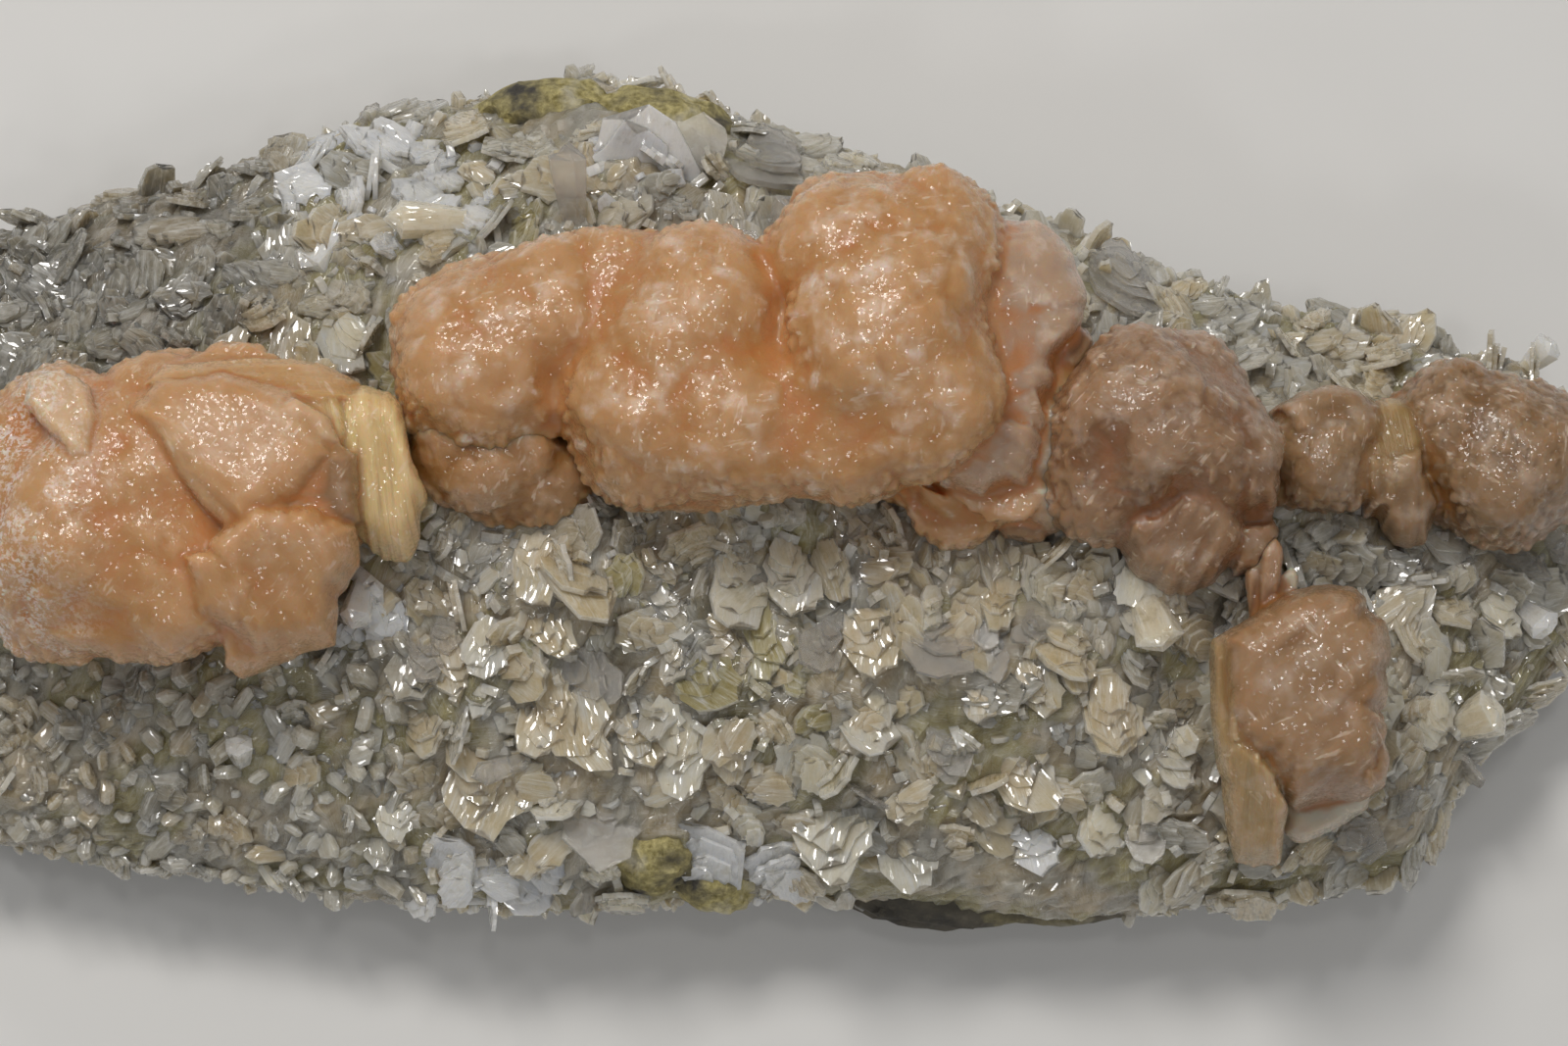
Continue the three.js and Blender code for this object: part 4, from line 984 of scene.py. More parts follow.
class Shader:
    """A material under construction."""

    def __init__(self, name):
        self.material = bpy.data.materials.new(name)
        self.material.use_nodes = True
        self.tree = self.material.node_tree
        self.tree.nodes.clear()
        self.out = self.tree.nodes.new("ShaderNodeOutputMaterial")
        self.main = self.tree.nodes.new("ShaderNodeBsdfPrincipled")
        self.tree.links.new(self.main.outputs["BSDF"], self.out.inputs["Surface"])

    def node(self, kind, inputs=None, **settings):
        made = self.tree.nodes.new("ShaderNode" + kind)
        for key, value in settings.items():
            setattr(made, key, value)
        for key, value in (inputs or {}).items():
            self.feed(made.inputs[key], value)
        return made

    def feed(self, socket, value):
        if hasattr(value, "is_output"):
            self.tree.links.new(value, socket)
        else:
            socket.default_value = value

    def finished(self, **values):
        """The material, with values for the shader's sockets, an underscore standing for a space."""
        for key, value in values.items():
            self.feed(self.main.inputs[key.replace("_", " ")], value)
        return self.material

    def attribute(self, name, output):
        return self.node("Attribute", attribute_name=name).outputs[output]

    def product(self, a, b, clamp=False):
        return self.node("Math", {0: a, 1: b}, operation="MULTIPLY", use_clamp=clamp).outputs[0]

    def vector(self, operation, a, b):
        second = "Scale" if operation == "SCALE" else 1
        return self.node("VectorMath", {0: a, second: b}, operation=operation).outputs[0]

    def span(self, value, low, high, to_low=0.0, to_high=1.0):
        inputs = {"Value": value, "From Min": low, "From Max": high, "To Min": to_low, "To Max": to_high}
        return self.node("MapRange", inputs).outputs["Result"]

    def mix(self, factor, a, b):
        return self.node("Mix", {0: factor, 6: a, 7: b}, data_type="RGBA").outputs[2]

    def place(self, scale):
        """Object coordinates in units of a length given in millimetres."""
        where = self.node("TexCoord").outputs["Object"]
        return self.node("Mapping", {"Vector": where, "Scale": (1000 / scale,) * 3}).outputs[0]

    def place_stretched(self, lengths, turn):
        """Object coordinates in units of three lengths in millimetres, along turned axes."""
        where = self.node("TexCoord").outputs["Object"]
        scale = tuple(length * MM for length in lengths)
        return self.node("Mapping", {"Vector": where, "Rotation": (0, 0, turn), "Scale": scale},
                         vector_type="TEXTURE").outputs[0]

    def stretched(self, name, scale):
        return self.node("Mapping", {"Vector": self.attribute(name, "Vector"), "Scale": scale}).outputs[0]

    def noise(self, where, detail=3.0, roughness=0.55):
        inputs = {"Vector": where, "Scale": 1.0, "Detail": detail, "Roughness": roughness}
        return self.node("TexNoise", inputs).outputs["Fac"]

    def bump(self, height, distance, strength=1.0, normal=None):
        inputs = {"Height": height, "Distance": distance * MM, "Strength": strength}
        if normal is not None:
            inputs["Normal"] = normal
        return self.node("Bump", inputs).outputs[0]


def sparkle_normal(shader, where, lean, patches=None):
    """Tiny faces, each turned its own way, so that some of them catch the light."""
    base = shader.node("NewGeometry").outputs["Normal"]
    grains = shader.node("TexVoronoi", {"Vector": where, "Scale": 1.0}).outputs["Color"]
    way = shader.vector("SCALE", shader.vector("SUBTRACT", grains, (0.5, 0.5, 0.5)), lean)
    if patches is not None:
        way = shader.vector("SCALE", way, patches)
    way = shader.vector("ADD", base, way)
    return shader.node("VectorMath", {0: way}, operation="NORMALIZE").outputs[0]


def stilbite_material(name, cloud, frost=0.0, turn=0.16, painted_hollow_orange=(0.56, 0.215, 0.058, 1)):
    """Waxy, translucent stilbite: cloudy white and a painted highlight on the crests, deep orange painted
    into the hollows for their shade and the glow of light through the crystal, striations.
    """
    s = Shader(name)
    tint = s.attribute("tint", "Color")
    crest = s.attribute("crest", "Fac")
    fibres = s.attribute("fibre", "Fac")
    broad = s.noise(s.place(6.5), detail=4.0)
    fine = s.noise(s.place(1.3), detail=5.0, roughness=0.65)
    soft = s.noise(s.place(3.2), detail=2.0)
    lines = s.noise(s.stretched("strand", (0.35, 4.2, 1.0)), detail=3.0, roughness=0.6)
    threads = s.noise(s.stretched("strand", (0.10, 2.4, 1.0)), detail=4.0, roughness=0.7)
    light = s.mix(0.45, tint, (0.88, 0.64, 0.40, 1))
    # Painted shade: the hollows turn deep orange for the shade and the glow of light through the crystal
    # there. Painted highlight: the crests turn paler.
    deep = s.product(s.span(crest, 0.52, 0.10), s.span(fibres, 0.5, 0.1, 0.2, 0.85))
    colour = s.mix(deep, tint, painted_hollow_orange)
    colour = s.mix(s.span(crest, 0.5, 0.9, 0.0, 0.4), colour, light)
    colour = s.mix(s.span(broad, 0.40, 0.7, 0.0, 0.3), colour, light)

    # Short strokes in two directions that trade places, then the cloudy patches
    region = s.span(s.noise(s.place(8.0), detail=1.0), 0.47, 0.53)
    dashes = s.mix(region, *(s.noise(s.place_stretched((2.6, 0.7, 1.5), way), detail=2.0)
                             for way in (turn, turn + 1.3)))
    strokes = s.product(s.span(dashes, 0.60, 0.68), s.span(broad, 0.42, 0.55))
    colour = s.mix(s.product(strokes, s.span(crest, 0.35, 0.6, 0.0, 0.45)), colour, STROKE_WHITE)
    patch = s.product(s.span(soft, 0.50, 0.72), s.span(crest, 0.36, 0.66))
    patch = s.product(patch, s.span(fine, 0.25, 0.6))
    colour = s.mix(s.product(patch, cloud), colour, CLOUD_WHITE)

    # Light and dark lines along the fibres
    lined = s.product(s.span(lines, 0.45, 0.75), s.product(fibres, 0.6))
    colour = s.mix(lined, colour, light)
    dark = s.product(s.span(threads, 0.44, 0.28), s.product(fibres, 0.9))
    colour = s.mix(dark, colour, s.mix(0.8, tint, (0.30, 0.17, 0.07, 1)))
    if frost > 0:
        grains = s.noise(s.place(0.55), detail=3.0, roughness=0.7)
        drift = s.noise(s.place(4.0), detail=5.0, roughness=0.6)
        side = s.node("SeparateXYZ", {0: s.node("TexCoord").outputs["Object"]}).outputs["X"]
        cover = s.product(s.span(side, -0.062, -0.080), s.span(drift, 0.40, 0.56))
        snow = s.product(s.span(grains, 0.47, 0.56), cover)
        colour = s.mix(s.product(snow, frost), colour, FROST_WHITE)
    return s.finished(
        Base_Color=colour, Roughness=s.span(fine, 0.3, 0.7, 0.28, 0.50), IOR=1.5,
        Subsurface_Weight=1.0, Subsurface_Radius=(1.0, 0.46, 0.24), Subsurface_Scale=2.6 * MM,
        Coat_Weight=0.7, Coat_Roughness=0.12,
        Normal=s.bump(fine, 0.20, 0.6, s.bump(s.product(threads, fibres), 0.45, 0.8)),
        Coat_Normal=sparkle_normal(s, s.place(0.26), 0.8, s.span(broad, 0.42, 0.6, 0.45, 1.0)))


def crust_material(name):
    """Milky crystals with white streaks along them, partly white fibres and partly painted silky sheen, and
    small bright faces.
    """
    s = Shader(name)
    tint = s.attribute("tint", "Color")
    fine = s.noise(s.place(0.7), detail=3.0, roughness=0.6)
    broad = s.noise(s.place(9.0), detail=3.0)
    cloud = s.noise(s.place(2.2), detail=4.0, roughness=0.6)
    lines = s.noise(s.stretched("strand", (0.3, 3.4, 1.0)), detail=4.0, roughness=0.7)
    silk = s.noise(s.stretched("strand", (0.22, 1.1, 0.9)), detail=3.0)
    colour = s.mix(s.span(cloud, 0.46, 0.70, 0.0, 0.45), tint, s.mix(0.6, tint, (0.92, 0.89, 0.81, 1)))
    colour = s.mix(s.span(cloud, 0.44, 0.28, 0.0, 0.6), colour, s.mix(0.7, tint, (0.30, 0.23, 0.10, 1)))
    # Streaks along the crystals: partly white fibres, partly painted silky sheen.
    streak = s.product(s.span(lines, 0.42, 0.72), s.span(silk, 0.44, 0.62))
    colour = s.mix(s.product(streak, 0.7), colour, FIBRE_AND_SHEEN_WHITE)
    colour = s.mix(s.span(broad, 0.58, 0.8, 0.0, 0.3), colour, (0.42, 0.36, 0.20, 1))
    return s.finished(
        Base_Color=colour, Roughness=s.span(fine, 0.3, 0.7, 0.22, 0.42), IOR=1.5,
        Subsurface_Weight=0.8, Subsurface_Radius=(1.0, 0.9, 0.72), Subsurface_Scale=3.6 * MM,
        Coat_Weight=1.0, Coat_IOR=1.7, Coat_Roughness=0.09,
        Normal=s.bump(fine, 0.06, 0.5, s.bump(lines, 0.16, 0.8)),
        Coat_Normal=sparkle_normal(s, s.stretched("strand", (1.1, 4.2, 1.6)), 0.6))


def clear_crystal_material(name):
    """Clear crystals that let the light through, a little rough and lined on their faces."""
    s = Shader(name)
    lines = s.noise(s.stretched("strand", (0.5, 4.6, 1.0)), detail=4.0, roughness=0.7)
    colour = s.mix(s.span(lines, 0.4, 0.7), (0.93, 0.90, 0.84, 1), (0.98, 0.97, 0.95, 1))
    return s.finished(Base_Color=colour, Roughness=0.12, IOR=1.5, Transmission_Weight=0.8,
                      Normal=s.bump(lines, 0.14, 0.7))


def basalt_material(name):
    """Dark fine-grained basalt with yellow-green celadonite where it weathers, and small dark pits."""
    s = Shader(name)
    green = s.attribute("crest", "Fac")
    broad = s.noise(s.place(7.0), detail=5.0)
    fine = s.noise(s.place(0.8), detail=5.0, roughness=0.7)
    grains = s.node("TexVoronoi", {"Vector": s.place(0.9), "Scale": 1.0}).outputs["Distance"]
    colour = s.mix(s.span(broad, 0.35, 0.65), (0.055, 0.050, 0.042, 1), (0.16, 0.14, 0.10, 1))
    colour = s.mix(s.span(fine, 0.5, 0.72, 0.0, 0.5), colour, (0.20, 0.18, 0.13, 1))
    moss = s.mix(s.span(fine, 0.35, 0.65), (0.22, 0.18, 0.05, 1), (0.60, 0.52, 0.24, 1))
    moss = s.mix(s.span(broad, 0.52, 0.66, 0.0, 0.8), moss, (0.74, 0.70, 0.58, 1))
    cover = s.product(s.span(green, 0.2, 0.7), s.span(broad, 0.36, 0.5), clamp=True)
    colour = s.mix(cover, colour, moss)
    return s.finished(Base_Color=colour, Roughness=s.span(fine, 0.3, 0.7, 0.62, 0.92),
                      Normal=s.bump(fine, 0.35, 0.8, s.bump(grains, 0.30, 0.5)))


# The crust

def rough_rings(stations, across, inset, lowered):
    """Rings of the hump's top surface, drawn in by an inset and lowered."""
    rings = []
    for x in stations:
        back, front, _, rim = (float(value) for value in rim_at(x))
        middle, half = (back + front) / 2, (back - front) / 2
        narrow = max(0.5, half - inset) / half
        y = middle - across * half
        least = rim - lowered * 0.3 + 0.9 * (1 - across ** 2)
        z = np.maximum(least, surface_height(np.full_like(y, x), y) - lowered)
        drawn_in = np.full_like(y, x * (1 - inset / HALF_LENGTH))
        rings.append(np.stack([drawn_in, middle - across * half * narrow, z], axis=1))
    return rings


def crust_ground():
    """The druse that the crystals stand on: a shell over the rock."""
    stations = np.linspace(-HALF_LENGTH, HALF_LENGTH, 210)
    across = np.sin(np.linspace(-np.pi / 2, np.pi / 2, 84))
    outer = rough_rings(stations, across, 0.0, -0.6)
    inner = rough_rings(stations, np.linspace(1, -1, 12), CRUST_OVERHANG - 0.4, CRUST_THICKNESS - 0.4)
    rings = []
    for x, top, under in zip(stations, outer, inner):
        skirt = float(rim_at(x)[3]) - CRUST_SKIRT
        edge = [np.array([[x, y, skirt + 1.4], [x * 0.998, y * 0.995, skirt]])
                for y in (top[-1, 1], top[0, 1])]
        rings.append(np.concatenate([top, edge[0], under, edge[1][::-1]]))
    verts, faces = closed_loft(rings)
    normal = normals_of(verts, faces)
    first, second, way, pick = cells(verts / 1.6, 3)
    height = 0.5 * (ease((second - first) * 2) - 0.5) + 0.35 * dots(way, tilt_of(pick))
    height += 0.5 * layered(verts / 4.5, 8)
    verts = verts + normal * (height * ease((normal[:, 2] + 0.6) / 0.6))[:, None]
    mesh = mesh_from("drusy_crust_ground", verts, faces)
    green = ease((layered(verts / 7.0, 61) - 0.03) / 0.22)[:, None]
    warm = ease(0.5 + 1.4 * layered(verts / 4.0, 71))[:, None]
    # Painted shade: the ground between the crystals is a fifth darker than the crystals' own colours.
    tint = 0.8 * (np.array(TINTS["clear"]) * (1 - warm) + np.array(TINTS["sand"]) * warm)
    tint = tint * (1 - green) + np.array(TINTS["olive"]) * green
    back_left = ease((DARK_LEFT - verts[:, 0]) / DARK_FADE) * ease((verts[:, 1] - 2) / 4)
    shade = (0.8 + 0.4 * pick) * (1 - DARK_SHARE * back_left)
    put(mesh, "tint", tint * shade[:, None], "FLOAT_COLOR")
    x, y, z = verts.T
    angle = 6 * noise(verts / 11.0, 37)
    c, s = np.cos(angle), np.sin(angle)
    put(mesh, "strand", np.stack([c * x + s * y, c * y - s * x, z], axis=1), "FLOAT_VECTOR")
    mesh.polygons.foreach_set("use_smooth", np.zeros(len(mesh.polygons), bool))
    return mesh


def rock_mesh():
    """The basalt: broken sides that lean in to a flat base, and lumps where the crust leaves it bare."""
    stations = np.linspace(-HALF_LENGTH, HALF_LENGTH, 190)
    across = np.sin(np.linspace(-np.pi / 2, np.pi / 2, 32))
    tops = rough_rings(stations, across, CRUST_OVERHANG, CRUST_THICKNESS)
    levels, base_points = 14, 40
    side = np.linspace(0, 1, levels + 2)[1:-1]
    rings = []
    for x, top in zip(stations, tops):
        parts = [top]
        middle = (top[0, 1] + top[-1, 1]) / 2
        for sign, edge in ((-1, top[-1]), (1, top[0])):
            half = abs(edge[1] - middle)
            where = np.stack([np.full(levels, x / 6), np.full(levels, 10.0 * sign), side * 1.5], axis=1)
            wave = 0.045 * noise(where, 21) + 0.03 * noise(where * 2.7, 22)
            share = 1 - (1 - BASE_SHARE) * side ** 1.35 + wave * side * (1.6 - side)
            y = middle + sign * half * np.minimum(share, 1.01)
            parts.append(np.stack([np.full(levels, edge[0]), y, edge[2] * (1 - side)], axis=1))
        foot = BASE_SHARE + 0.03 * math.sin(x * 0.31) + 0.02 * math.sin(x * 0.83 + 1)
        half = abs(top[0, 1] - top[-1, 1]) / 2
        base = middle + np.linspace(-foot, foot, base_points) * half
        parts.insert(2, np.stack([np.full(base_points, top[0, 0]), base, np.zeros(base_points)], axis=1))
        parts[3] = parts[3][::-1]
        rings.append(np.concatenate(parts))
    verts, faces = closed_loft(rings)
    normal = normals_of(verts, faces)
    _, _, way, pick = cells(verts / 5.5, 41)
    height = 0.9 * dots(way, tilt_of(pick)) + 0.5 * layered(verts / 2.4, 44) - 0.35
    free = ease(verts[:, 2] / 1.2)
    verts = verts + normal * (height * free)[:, None]
    flat = free <= 0
    verts[flat, 2] += np.maximum(0, 0.25 * layered(verts[flat] / 3.0, 47))
    verts[:, 2] = np.maximum(0, verts[:, 2])
    solids = [(verts, outward(verts, faces))]
    for x, y, z, rx, ry, rz, turn in BARE_ROCK:
        ball = bmesh.new()
        bmesh.ops.create_icosphere(ball, subdivisions=4, radius=1.0)
        points = np.array([v.co[:] for v in ball.verts])
        tris = np.array([[v.index for v in f.verts] for f in ball.faces])
        ball.free()
        _, _, way, pick = cells(points * 2.1 + x, 61)
        push = 1 + 0.10 * dots(way, tilt_of(pick)) + 0.06 * layered(points * 3.1 + y, 63)
        c, s = math.cos(math.radians(turn)), math.sin(math.radians(turn))
        points = points * push[:, None] * np.array([rx, ry, rz])
        points = points @ np.array([[c, s, 0], [-s, c, 0], [0, 0, 1]]) + np.array([x, y, z])
        solids.append((points, outward(points, tris)))
    mesh = united("basalt_matrix_rock", solids)
    co = points_of(mesh)
    vertex, _, source = corners_of(mesh)
    green = np.zeros(len(co))
    green[vertex[(source >= 1) & (source <= MOSSY)]] = 1.0
    green = np.maximum(green, 0.35 * (noise(co / 16, 71) > 0.25))
    put(mesh, "crest", green, "FLOAT")
    mesh.polygons.foreach_set("use_smooth", np.ones(len(mesh.polygons), bool))
    mesh.set_sharp_from_angle(angle=math.radians(40))
    return mesh


def hull(points):
    made = bmesh.new()
    verts = [made.verts.new(p) for p in points]
    bmesh.ops.convex_hull(made, input=verts)
    loose = [v for v in made.verts if not v.link_faces]
    bmesh.ops.delete(made, geom=loose, context="VERTS")
    bmesh.ops.triangulate(made, faces=made.faces)
    made.verts.index_update()
    out = np.array([v.co[:] for v in made.verts])
    tris = np.array([[v.index for v in f.verts] for f in made.faces])
    made.free()
    return out, outward(out, tris)


def block_templates(pick, count):
    """Blocky crystals of unit half length, each with its own outline and flat bevelled faces."""
    outline = np.array([(-0.95, -0.42), (-0.4, -0.6), (0.62, -0.5), (1.0, 0.05), (0.5, 0.56), (-0.78, 0.5)])
    made = []
    for _ in range(count):
        edge = outline * pick.uniform(0.8, 1.15, outline.shape)
        shrink = pick.uniform(0.6, 0.85)
        slope = pick.uniform(-0.14, 0.14)
        points = [(x, y, z) for x, y in edge for z in (-0.16, 0.16)]
        points += [(x * shrink, y * shrink, 0.5 + slope * x * shrink) for x, y in edge]
        points += [(x * shrink, y * shrink, -0.5 + slope * x * shrink) for x, y in edge]
        made.append(hull(points))
    return made


def plate_solid(outline):
    """A flat crystal of unit thickness over an outline that is seen whole from its first point."""
    front = np.array([(x, y, 0.5) for x, y in outline])
    count = len(front)
    faces = [(0, i, i + 1) for i in range(1, count - 1)]
    faces += [(count, count + i + 1, count + i) for i in range(1, count - 1)]
    for i in range(count):
        j = (i + 1) % count
        faces += [(i, count + i, j), (j, count + i, count + j)]
    verts = np.concatenate([front, front * np.array([1, 1, -1])])
    return verts, outward(verts, np.array(faces))


def tile_templates(pick, count, corners, notches):
    """Flat crystals of unit reach: straight edges between chance corners, some of them notched."""
    made = []
    for _ in range(count):
        angle = (np.arange(corners) + pick.uniform(-0.34, 0.34, corners)) * 2 * math.pi / corners
        reach = pick.uniform(0.84, 1.08, corners)
        outline = [(math.cos(a) * r, math.sin(a) * r) for a, r in zip(angle, reach)]
        rim = []
        for k, corner in enumerate(outline):
            rim.append(corner)
            after = outline[(k + 1) % corners]
            if k < notches:
                at = pick.uniform(0.35, 0.65)
                rim.append(tuple(0.88 * (a * (1 - at) + b * at) for a, b in zip(corner, after)))
        made.append(plate_solid(np.array(rim) * np.array([1, pick.uniform(0.55, 0.9)])))
    return made


def ground_seen(px, py, lift=0.0):
    z = 30.0
    for _ in range(8):
        x, y, _ = seen_at(px, py, z)
        z = ground_at(x, y)[0] + lift
    return np.array([x, y, z])


zones = [(*ground_seen(px, py)[:2], *rest) for px, py, *rest in ZONES]
covered = [(x, y, radius) for mass in MASSES for x, y, _, radius in mass["stems"]]


def turned(normal, pick, lean):
    """Chance axes whose third direction is near a normal."""
    up = unit(normal + pick.normal(0, lean, 3))
    side = unit(np.cross(up, pick.normal(0, 1, 3)))
    return np.stack([side, np.cross(up, side), up])


def spread_points(pick, tries, gap, free):
    """Chance places on the crust, no two nearer than the gap: x, y."""
    grid, found = {}, []
    xs = pick.uniform(-HALF_LENGTH, HALF_LENGTH, tries)
    ts = pick.uniform(-1, 1, tries)
    back, front, _, _ = rim_at(xs)
    ys = (back + front) / 2 + ts * (back - front) / 2
    for x, y in zip(xs, ys):
        if not free(x, y):
            continue
        cell = (int(x // gap), int(y // gap))
        near = [p for i in (-1, 0, 1) for j in (-1, 0, 1) for p in grid.get((cell[0] + i, cell[1] + j), ())]
        if all((x - p[0]) ** 2 + (y - p[1]) ** 2 > gap * gap for p in near):
            grid.setdefault(cell, []).append((x, y))
            found.append((x, y))
    return found


def on_bare_rock(x, y, margin):
    for bx, by, _, rx, ry, _, turn in BARE_ROCK:
        c, s = math.cos(math.radians(turn)), math.sin(math.radians(turn))
        dx, dy = x - bx, y - by
        u, v = (c * dx + s * dy) / (rx + margin), (-s * dx + c * dy) / (ry + margin)
        if u * u + v * v < 0.8:
            return True
    return False


def crust_tint(x, y, pick):
    """Colour of one crystal: colours drift over the crust, and some zones have a colour of their own."""
    for zx, zy, rx, ry, name, share in zones:
        near = ((x - zx) / rx) ** 2 + ((y - zy) / ry) ** 2
        if near < 1 and pick.uniform() < share * (1.3 - near):
            return np.array(TINTS[name]) * pick.uniform(0.9, 1.1)
    at = np.array([[x / 5, y / 5, 0.0]])
    warm = 0.62 * float(noise(at, 71)[0]) + 0.5 * float(noise(at * 2.1, 72)[0]) + pick.normal(0, 0.10)
    warm += 0.14 if y < 0 and x > -34 else -0.12
    bright = 0.5 * float(noise(at * 1.3, 73)[0]) + pick.normal(0, 0.10)
    cool = np.array(TINTS["grey" if bright < 0 else "clear"])
    fair = np.array(TINTS["sand" if bright < 0.2 else "ivory"])
    share = float(ease(np.array(warm * 2.5 + 0.5)))
    return (cool * (1 - share) + fair * share) * (1 + 0.22 * bright)


def crust_crystals():
    """Every crystal of the crust as a solid, its axes, its colour and its x: milky ones, clear ones."""
    pick = np.random.default_rng(CRUST_SEED)
    blocks = block_templates(pick, 24)
    tiles, wide_tiles = tile_templates(pick, 40, 7, 1), tile_templates(pick, 30, 9, 5)
    milky, clear = [], []

    def add(template, origin, axes, scale, tint, made):
        verts, faces = template
        made.append((((verts * scale) @ axes + origin, faces), (origin, axes), tint, origin[0]))

    def add_block(x, y, z, normal, half, lean, tint, stand):
        axes = turned(normal, pick, lean)
        if stand:
            axes = axes[[2, 0, 1]]
        scale = half * np.array([pick.uniform(0.9, 1.3), pick.uniform(0.75, 1.2), pick.uniform(0.5, 1.0)])
        add(blocks[pick.integers(len(blocks))], np.array([x, y, z]), axes, scale, tint, milky)

    def add_tiles(place, rise, normal, lean, reach, plates, tint, made, large=False):
        """Plates one on another, raised at one side, each smaller than the one below and set back."""
        templates = wide_tiles if large else tiles
        axis = rise * math.cos(lean) + normal * math.sin(lean)
        side = unit(np.cross(normal, rise) + pick.normal(0, 0.15, 3))
        side = unit(side - axis * (side @ axis))
        face = np.cross(axis, side)
        at, thick = place.copy(), min(0.24 * reach, 0.56) * pick.uniform(0.7, 1.2)
        for _ in range(plates):
            turn = pick.normal(0, 0.3)
            along = unit(axis + side * turn + face * pick.normal(0, 0.07))
            across = unit(side - along * (side @ along))
            axes = np.stack([along, across, np.cross(along, across)])
            add(templates[pick.integers(len(templates))], at, axes, np.array([reach, reach, thick]),
                tint * pick.uniform(0.95, 1.05), made)
            at = at + face * 0.7 * thick - axis * reach * pick.uniform(0.1, 0.36)
            at = at + side * pick.normal(0, 0.2 * reach)
            reach *= pick.uniform(0.74, 0.95)

    def under_mass(x, y):
        return any((x - sx) ** 2 + (y - sy) ** 2 < (0.8 * radius) ** 2 for sx, sy, radius in covered)

    # The fans and blades that the picture shows one by one
    taken = []
    for start_x, start_y, end_x, end_y, layers, name in FEATURE_FANS:
        root, tip = ground_seen(start_x, start_y, 0.4), ground_seen(end_x, end_y, 3.0)
        axis = unit(tip - root)
        reach = 0.5 * float(np.linalg.norm(tip - root))
        up = unit(ground_at(*root[:2])[1] + np.array([0, 0, 0.8]))
        rise = unit(axis - up * (axis @ up))
        place = (root + tip) / 2 - up * 0.6
        lean, made = math.radians(pick.uniform(12, 34)), clear if name == "clear" else milky
        add_tiles(place, rise, up, lean, max(1.15 * reach, 1.8), layers, np.array(TINTS[name]), made,
                  large=True)
        taken += [root[:2], (root[:2] + tip[:2]) / 2, tip[:2]]
    for px, py, azimuth, elevation, length, width, thick, name in FEATURE_BLADES:
        root = ground_seen(px, py, 0.4)
        az, el = math.radians(azimuth), math.radians(elevation)
        along = heading(az, el)
        across = np.cross(np.array([0, 0, 1.0]), along) + pick.normal(0, 0.15, 3)
        solid, own = blade_solid(root, along, across, length, width, thick, root=0.6, tip=0.8)
        (clear if name == "clear" else milky).append((solid, own, np.array(TINTS[name]), root[0]))
    taken = np.array(taken)

    def open_ground(x, y):
        return not on_bare_rock(x, y, 0.6) and not under_mass(x, y)

    def sheltered(x, y):
        """The stretch under the left mass, where the crystals are small blocks."""
        return x < -34 and y < 4

    # Tilted stacks all over
    for x, y in spread_points(pick, STACK_TRIES, STACK_GAP, open_ground):
        if np.min(np.hypot(taken[:, 0] - x, taken[:, 1] - y)) < 1.6:
            continue
        z, normal = ground_at(x, y)
        upright = pick.uniform() < UPRIGHT_SHARE
        lean = math.radians(pick.uniform(52, 84) if upright else pick.uniform(6, 42))
        field = np.array([[x / 9, y / 9, 0.0]])
        around = 4 * math.pi * float(noise(field, 41)[0]) + pick.normal(0, 0.7)
        rise = np.array([math.cos(around), math.sin(around), 0])
        rise = unit(rise - normal * (rise @ normal))
        reach = pick.uniform(1.4, 2.6) if sheltered(x, y) else pick.uniform(2.0, 4.2)
        lift = min(reach * math.sin(lean) - 0.7, 0.6)
        place, plates = np.array([x, y, z]) + normal * lift, int(pick.integers(3, 6))
        tint = crust_tint(x, y, pick)
        made = clear if pick.uniform() < CLEAR_SHARE else milky
        add_tiles(place, rise, normal, lean, reach, plates, tint, made, large=reach > 2.2)

    # Chips and blocks in between
    for x, y in spread_points(pick, CHIP_TRIES, CHIP_GAP, open_ground):
        z, normal = ground_at(x, y)
        tint = crust_tint(x, y, pick)
        if sheltered(x, y):
            half = pick.uniform(1.0, 2.5)
            add_block(x, y, z + 0.1 * half, normal, half, 0.6, tint, pick.uniform() < 0.4)
            continue
        axes = turned(normal, pick, 0.5)
        if pick.uniform() < 0.6:
            axes = axes[[2, 0, 1]]
        half = pick.uniform(1.0, 2.2)
        scale = half * np.array([1, 0.8, 0.5])
        add(tiles[pick.integers(len(tiles))], np.array([x, y, z]), axes, scale, tint, milky)

    # Blocks along the rim
    for sign in (-1, 1):
        for x in np.arange(-HALF_LENGTH + 1, HALF_LENGTH - 1, RIM_GAP):
            back, front, _, rim = (float(value) for value in rim_at(x))
            for level in RIM_LEVELS:
                xx = x + pick.uniform(-0.7, 0.7)
                y = (back if sign > 0 else front) - sign * pick.uniform(0.3, 1.2)
                if not on_bare_rock(xx, y, 0.0):
                    add_block(xx, y, rim + level, np.array([0.0, sign, 0.35]), pick.uniform(1.0, 1.7), 0.5,
                              crust_tint(xx, y, pick), pick.uniform() < 0.6)
    return milky, clear


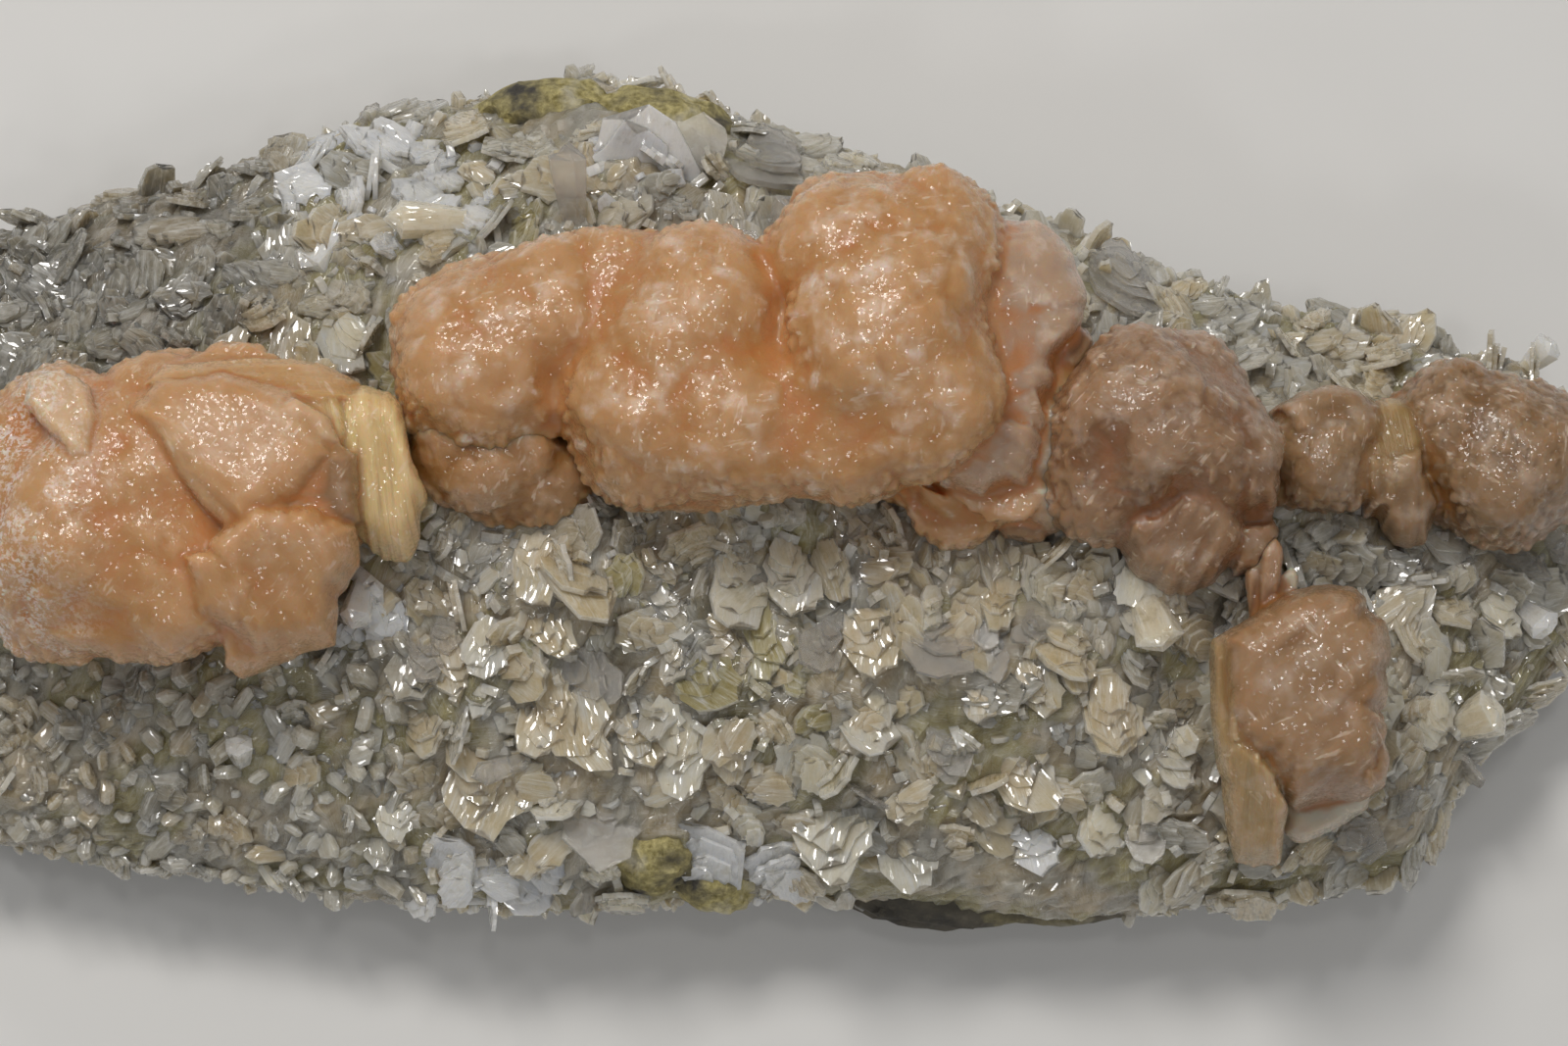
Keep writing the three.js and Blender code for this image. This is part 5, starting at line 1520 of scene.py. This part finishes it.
def crust_piece(name, crystals, material):
    mesh = united(name, [c[0] for c in crystals])
    vertex, face, source = corners_of(mesh)
    place = points_of(mesh)[vertex]
    origin = np.array([c[1][0] for c in crystals])[source]
    basis = np.array([c[1][1] for c in crystals])[source]
    own = np.einsum("nij,nj->ni", basis, place - origin)
    strand = own * np.array([1, 1, 3]) + np.array([0, 0, 3.7]) * source[:, None]
    put(mesh, "strand", strand, "FLOAT_VECTOR", "CORNER")
    tint = np.array([c[2] for c in crystals])[source]
    # Painted sheen: the side faces of every crystal are painted a quarter whiter, for the silvery light that
    # their striated edges catch.
    way = read(mesh.polygons, "normal", np.float32, 3)[face]
    edge = ease(1.4 - 2.0 * np.abs(dots(way, basis[:, 2])))[:, None]
    tint = tint * (1 - 0.25 * edge) + 0.25 * edge * np.array(TINTS["white"])
    left = 1 - DARK_SHARE * ease((DARK_LEFT - place[:, 0]) / DARK_FADE)
    tint = tint * np.where(place[:, 1] > 4, left, 0.5 + 0.5 * left)[:, None]
    put(mesh, "tint", tint, "FLOAT_COLOR", "CORNER")
    mesh.polygons.foreach_set("use_smooth", np.zeros(len(mesh.polygons), bool))
    piece(name, mesh, material, "drusy_crust")


def build_crust(material, clear_material):
    """The crust in four strips from left to right, its clear crystals and its ground."""
    milky, clear = crust_crystals()
    bounds = np.quantile([c[3] for c in milky], [0.25, 0.5, 0.75])
    for k in range(4):
        part = [c for c in milky if np.searchsorted(bounds, c[3]) == k]
        crust_piece(f"drusy_crust_crystals_{k + 1}", part, material)
    crust_piece("drusy_crust_clear_crystals", clear, clear_material)
    piece("drusy_crust_ground", crust_ground(), material, "drusy_crust")


# Stage

def add_camera():
    target = Vector(CAMERA_TARGET * MM)
    data = bpy.data.cameras.new("camera")
    data.sensor_width = 36
    data.lens = data.sensor_width * CAMERA_DISTANCE / FRAME_WIDTH
    data.clip_start = 0.01
    camera = bpy.data.objects.new("camera", data)
    away = Vector((0, -math.cos(CAMERA_ELEVATION), math.sin(CAMERA_ELEVATION)))
    camera.location = target + away * CAMERA_DISTANCE * MM
    camera.rotation_euler = (target - camera.location).to_track_quat("-Z", "Y").to_euler()
    show(camera)
    bpy.context.scene.camera = camera


def add_light(name, place, size, power, colour=(1, 1, 1)):
    data = bpy.data.lights.new(name, "AREA")
    data.shape = "SQUARE"
    data.size = size
    data.energy = power
    data.color = colour
    light = bpy.data.objects.new(name, data)
    light.location = place
    light.rotation_euler = (Vector(LAMP_TARGET) - Vector(place)).to_track_quat("-Z", "Y").to_euler()
    show(light)


def add_stage():
    floor = bpy.data.objects.new("floor", bpy.data.meshes.new("floor"))
    corners = [(x * FLOOR_HALF, y * FLOOR_HALF, 0) for x, y in ((-1, -1), (1, -1), (1, 1), (-1, 1))]
    floor.data.from_pydata(corners, [], [(0, 1, 2, 3)])
    s = Shader("pale_floor")
    pale = s.mix(s.noise(s.place(60.0), detail=4.0), (0.76, 0.75, 0.73, 1), (0.82, 0.81, 0.79, 1))
    floor.data.materials.append(s.finished(Base_Color=pale, Roughness=0.9))
    show(floor)
    add_light("key", (-0.16, 0.36, 0.74), 0.22, 2.8, (1.0, 0.97, 0.93))
    for k, place in enumerate(SOFT_BOXES):
        add_light(f"soft_box_{k + 1}", place, SOFT_BOX_SIZE, SOFT_BOX_POWER)
    add_light("fill", (0.35, -0.45, 0.8), 0.8, 0.5, (0.98, 0.98, 0.97))
    world = bpy.data.worlds.new("studio")
    world.use_nodes = True
    background = world.node_tree.nodes["Background"]
    background.inputs["Color"].default_value = (0.97, 0.98, 0.99, 1)
    background.inputs["Strength"].default_value = 0.14
    bpy.context.scene.world = world
    bpy.context.scene.view_settings.view_transform = "Standard"


def main():
    add_camera()
    add_stage()
    for k, mass in enumerate(MASSES):
        cluster(mass, 100 * (k + 1))
    build_crust(crust_material("crust_crystals"), clear_crystal_material("clear_crystals"))
    piece("basalt_matrix_rock", rock_mesh(), basalt_material("basalt"), "basalt_matrix")
    bpy.context.view_layer.update()


main()
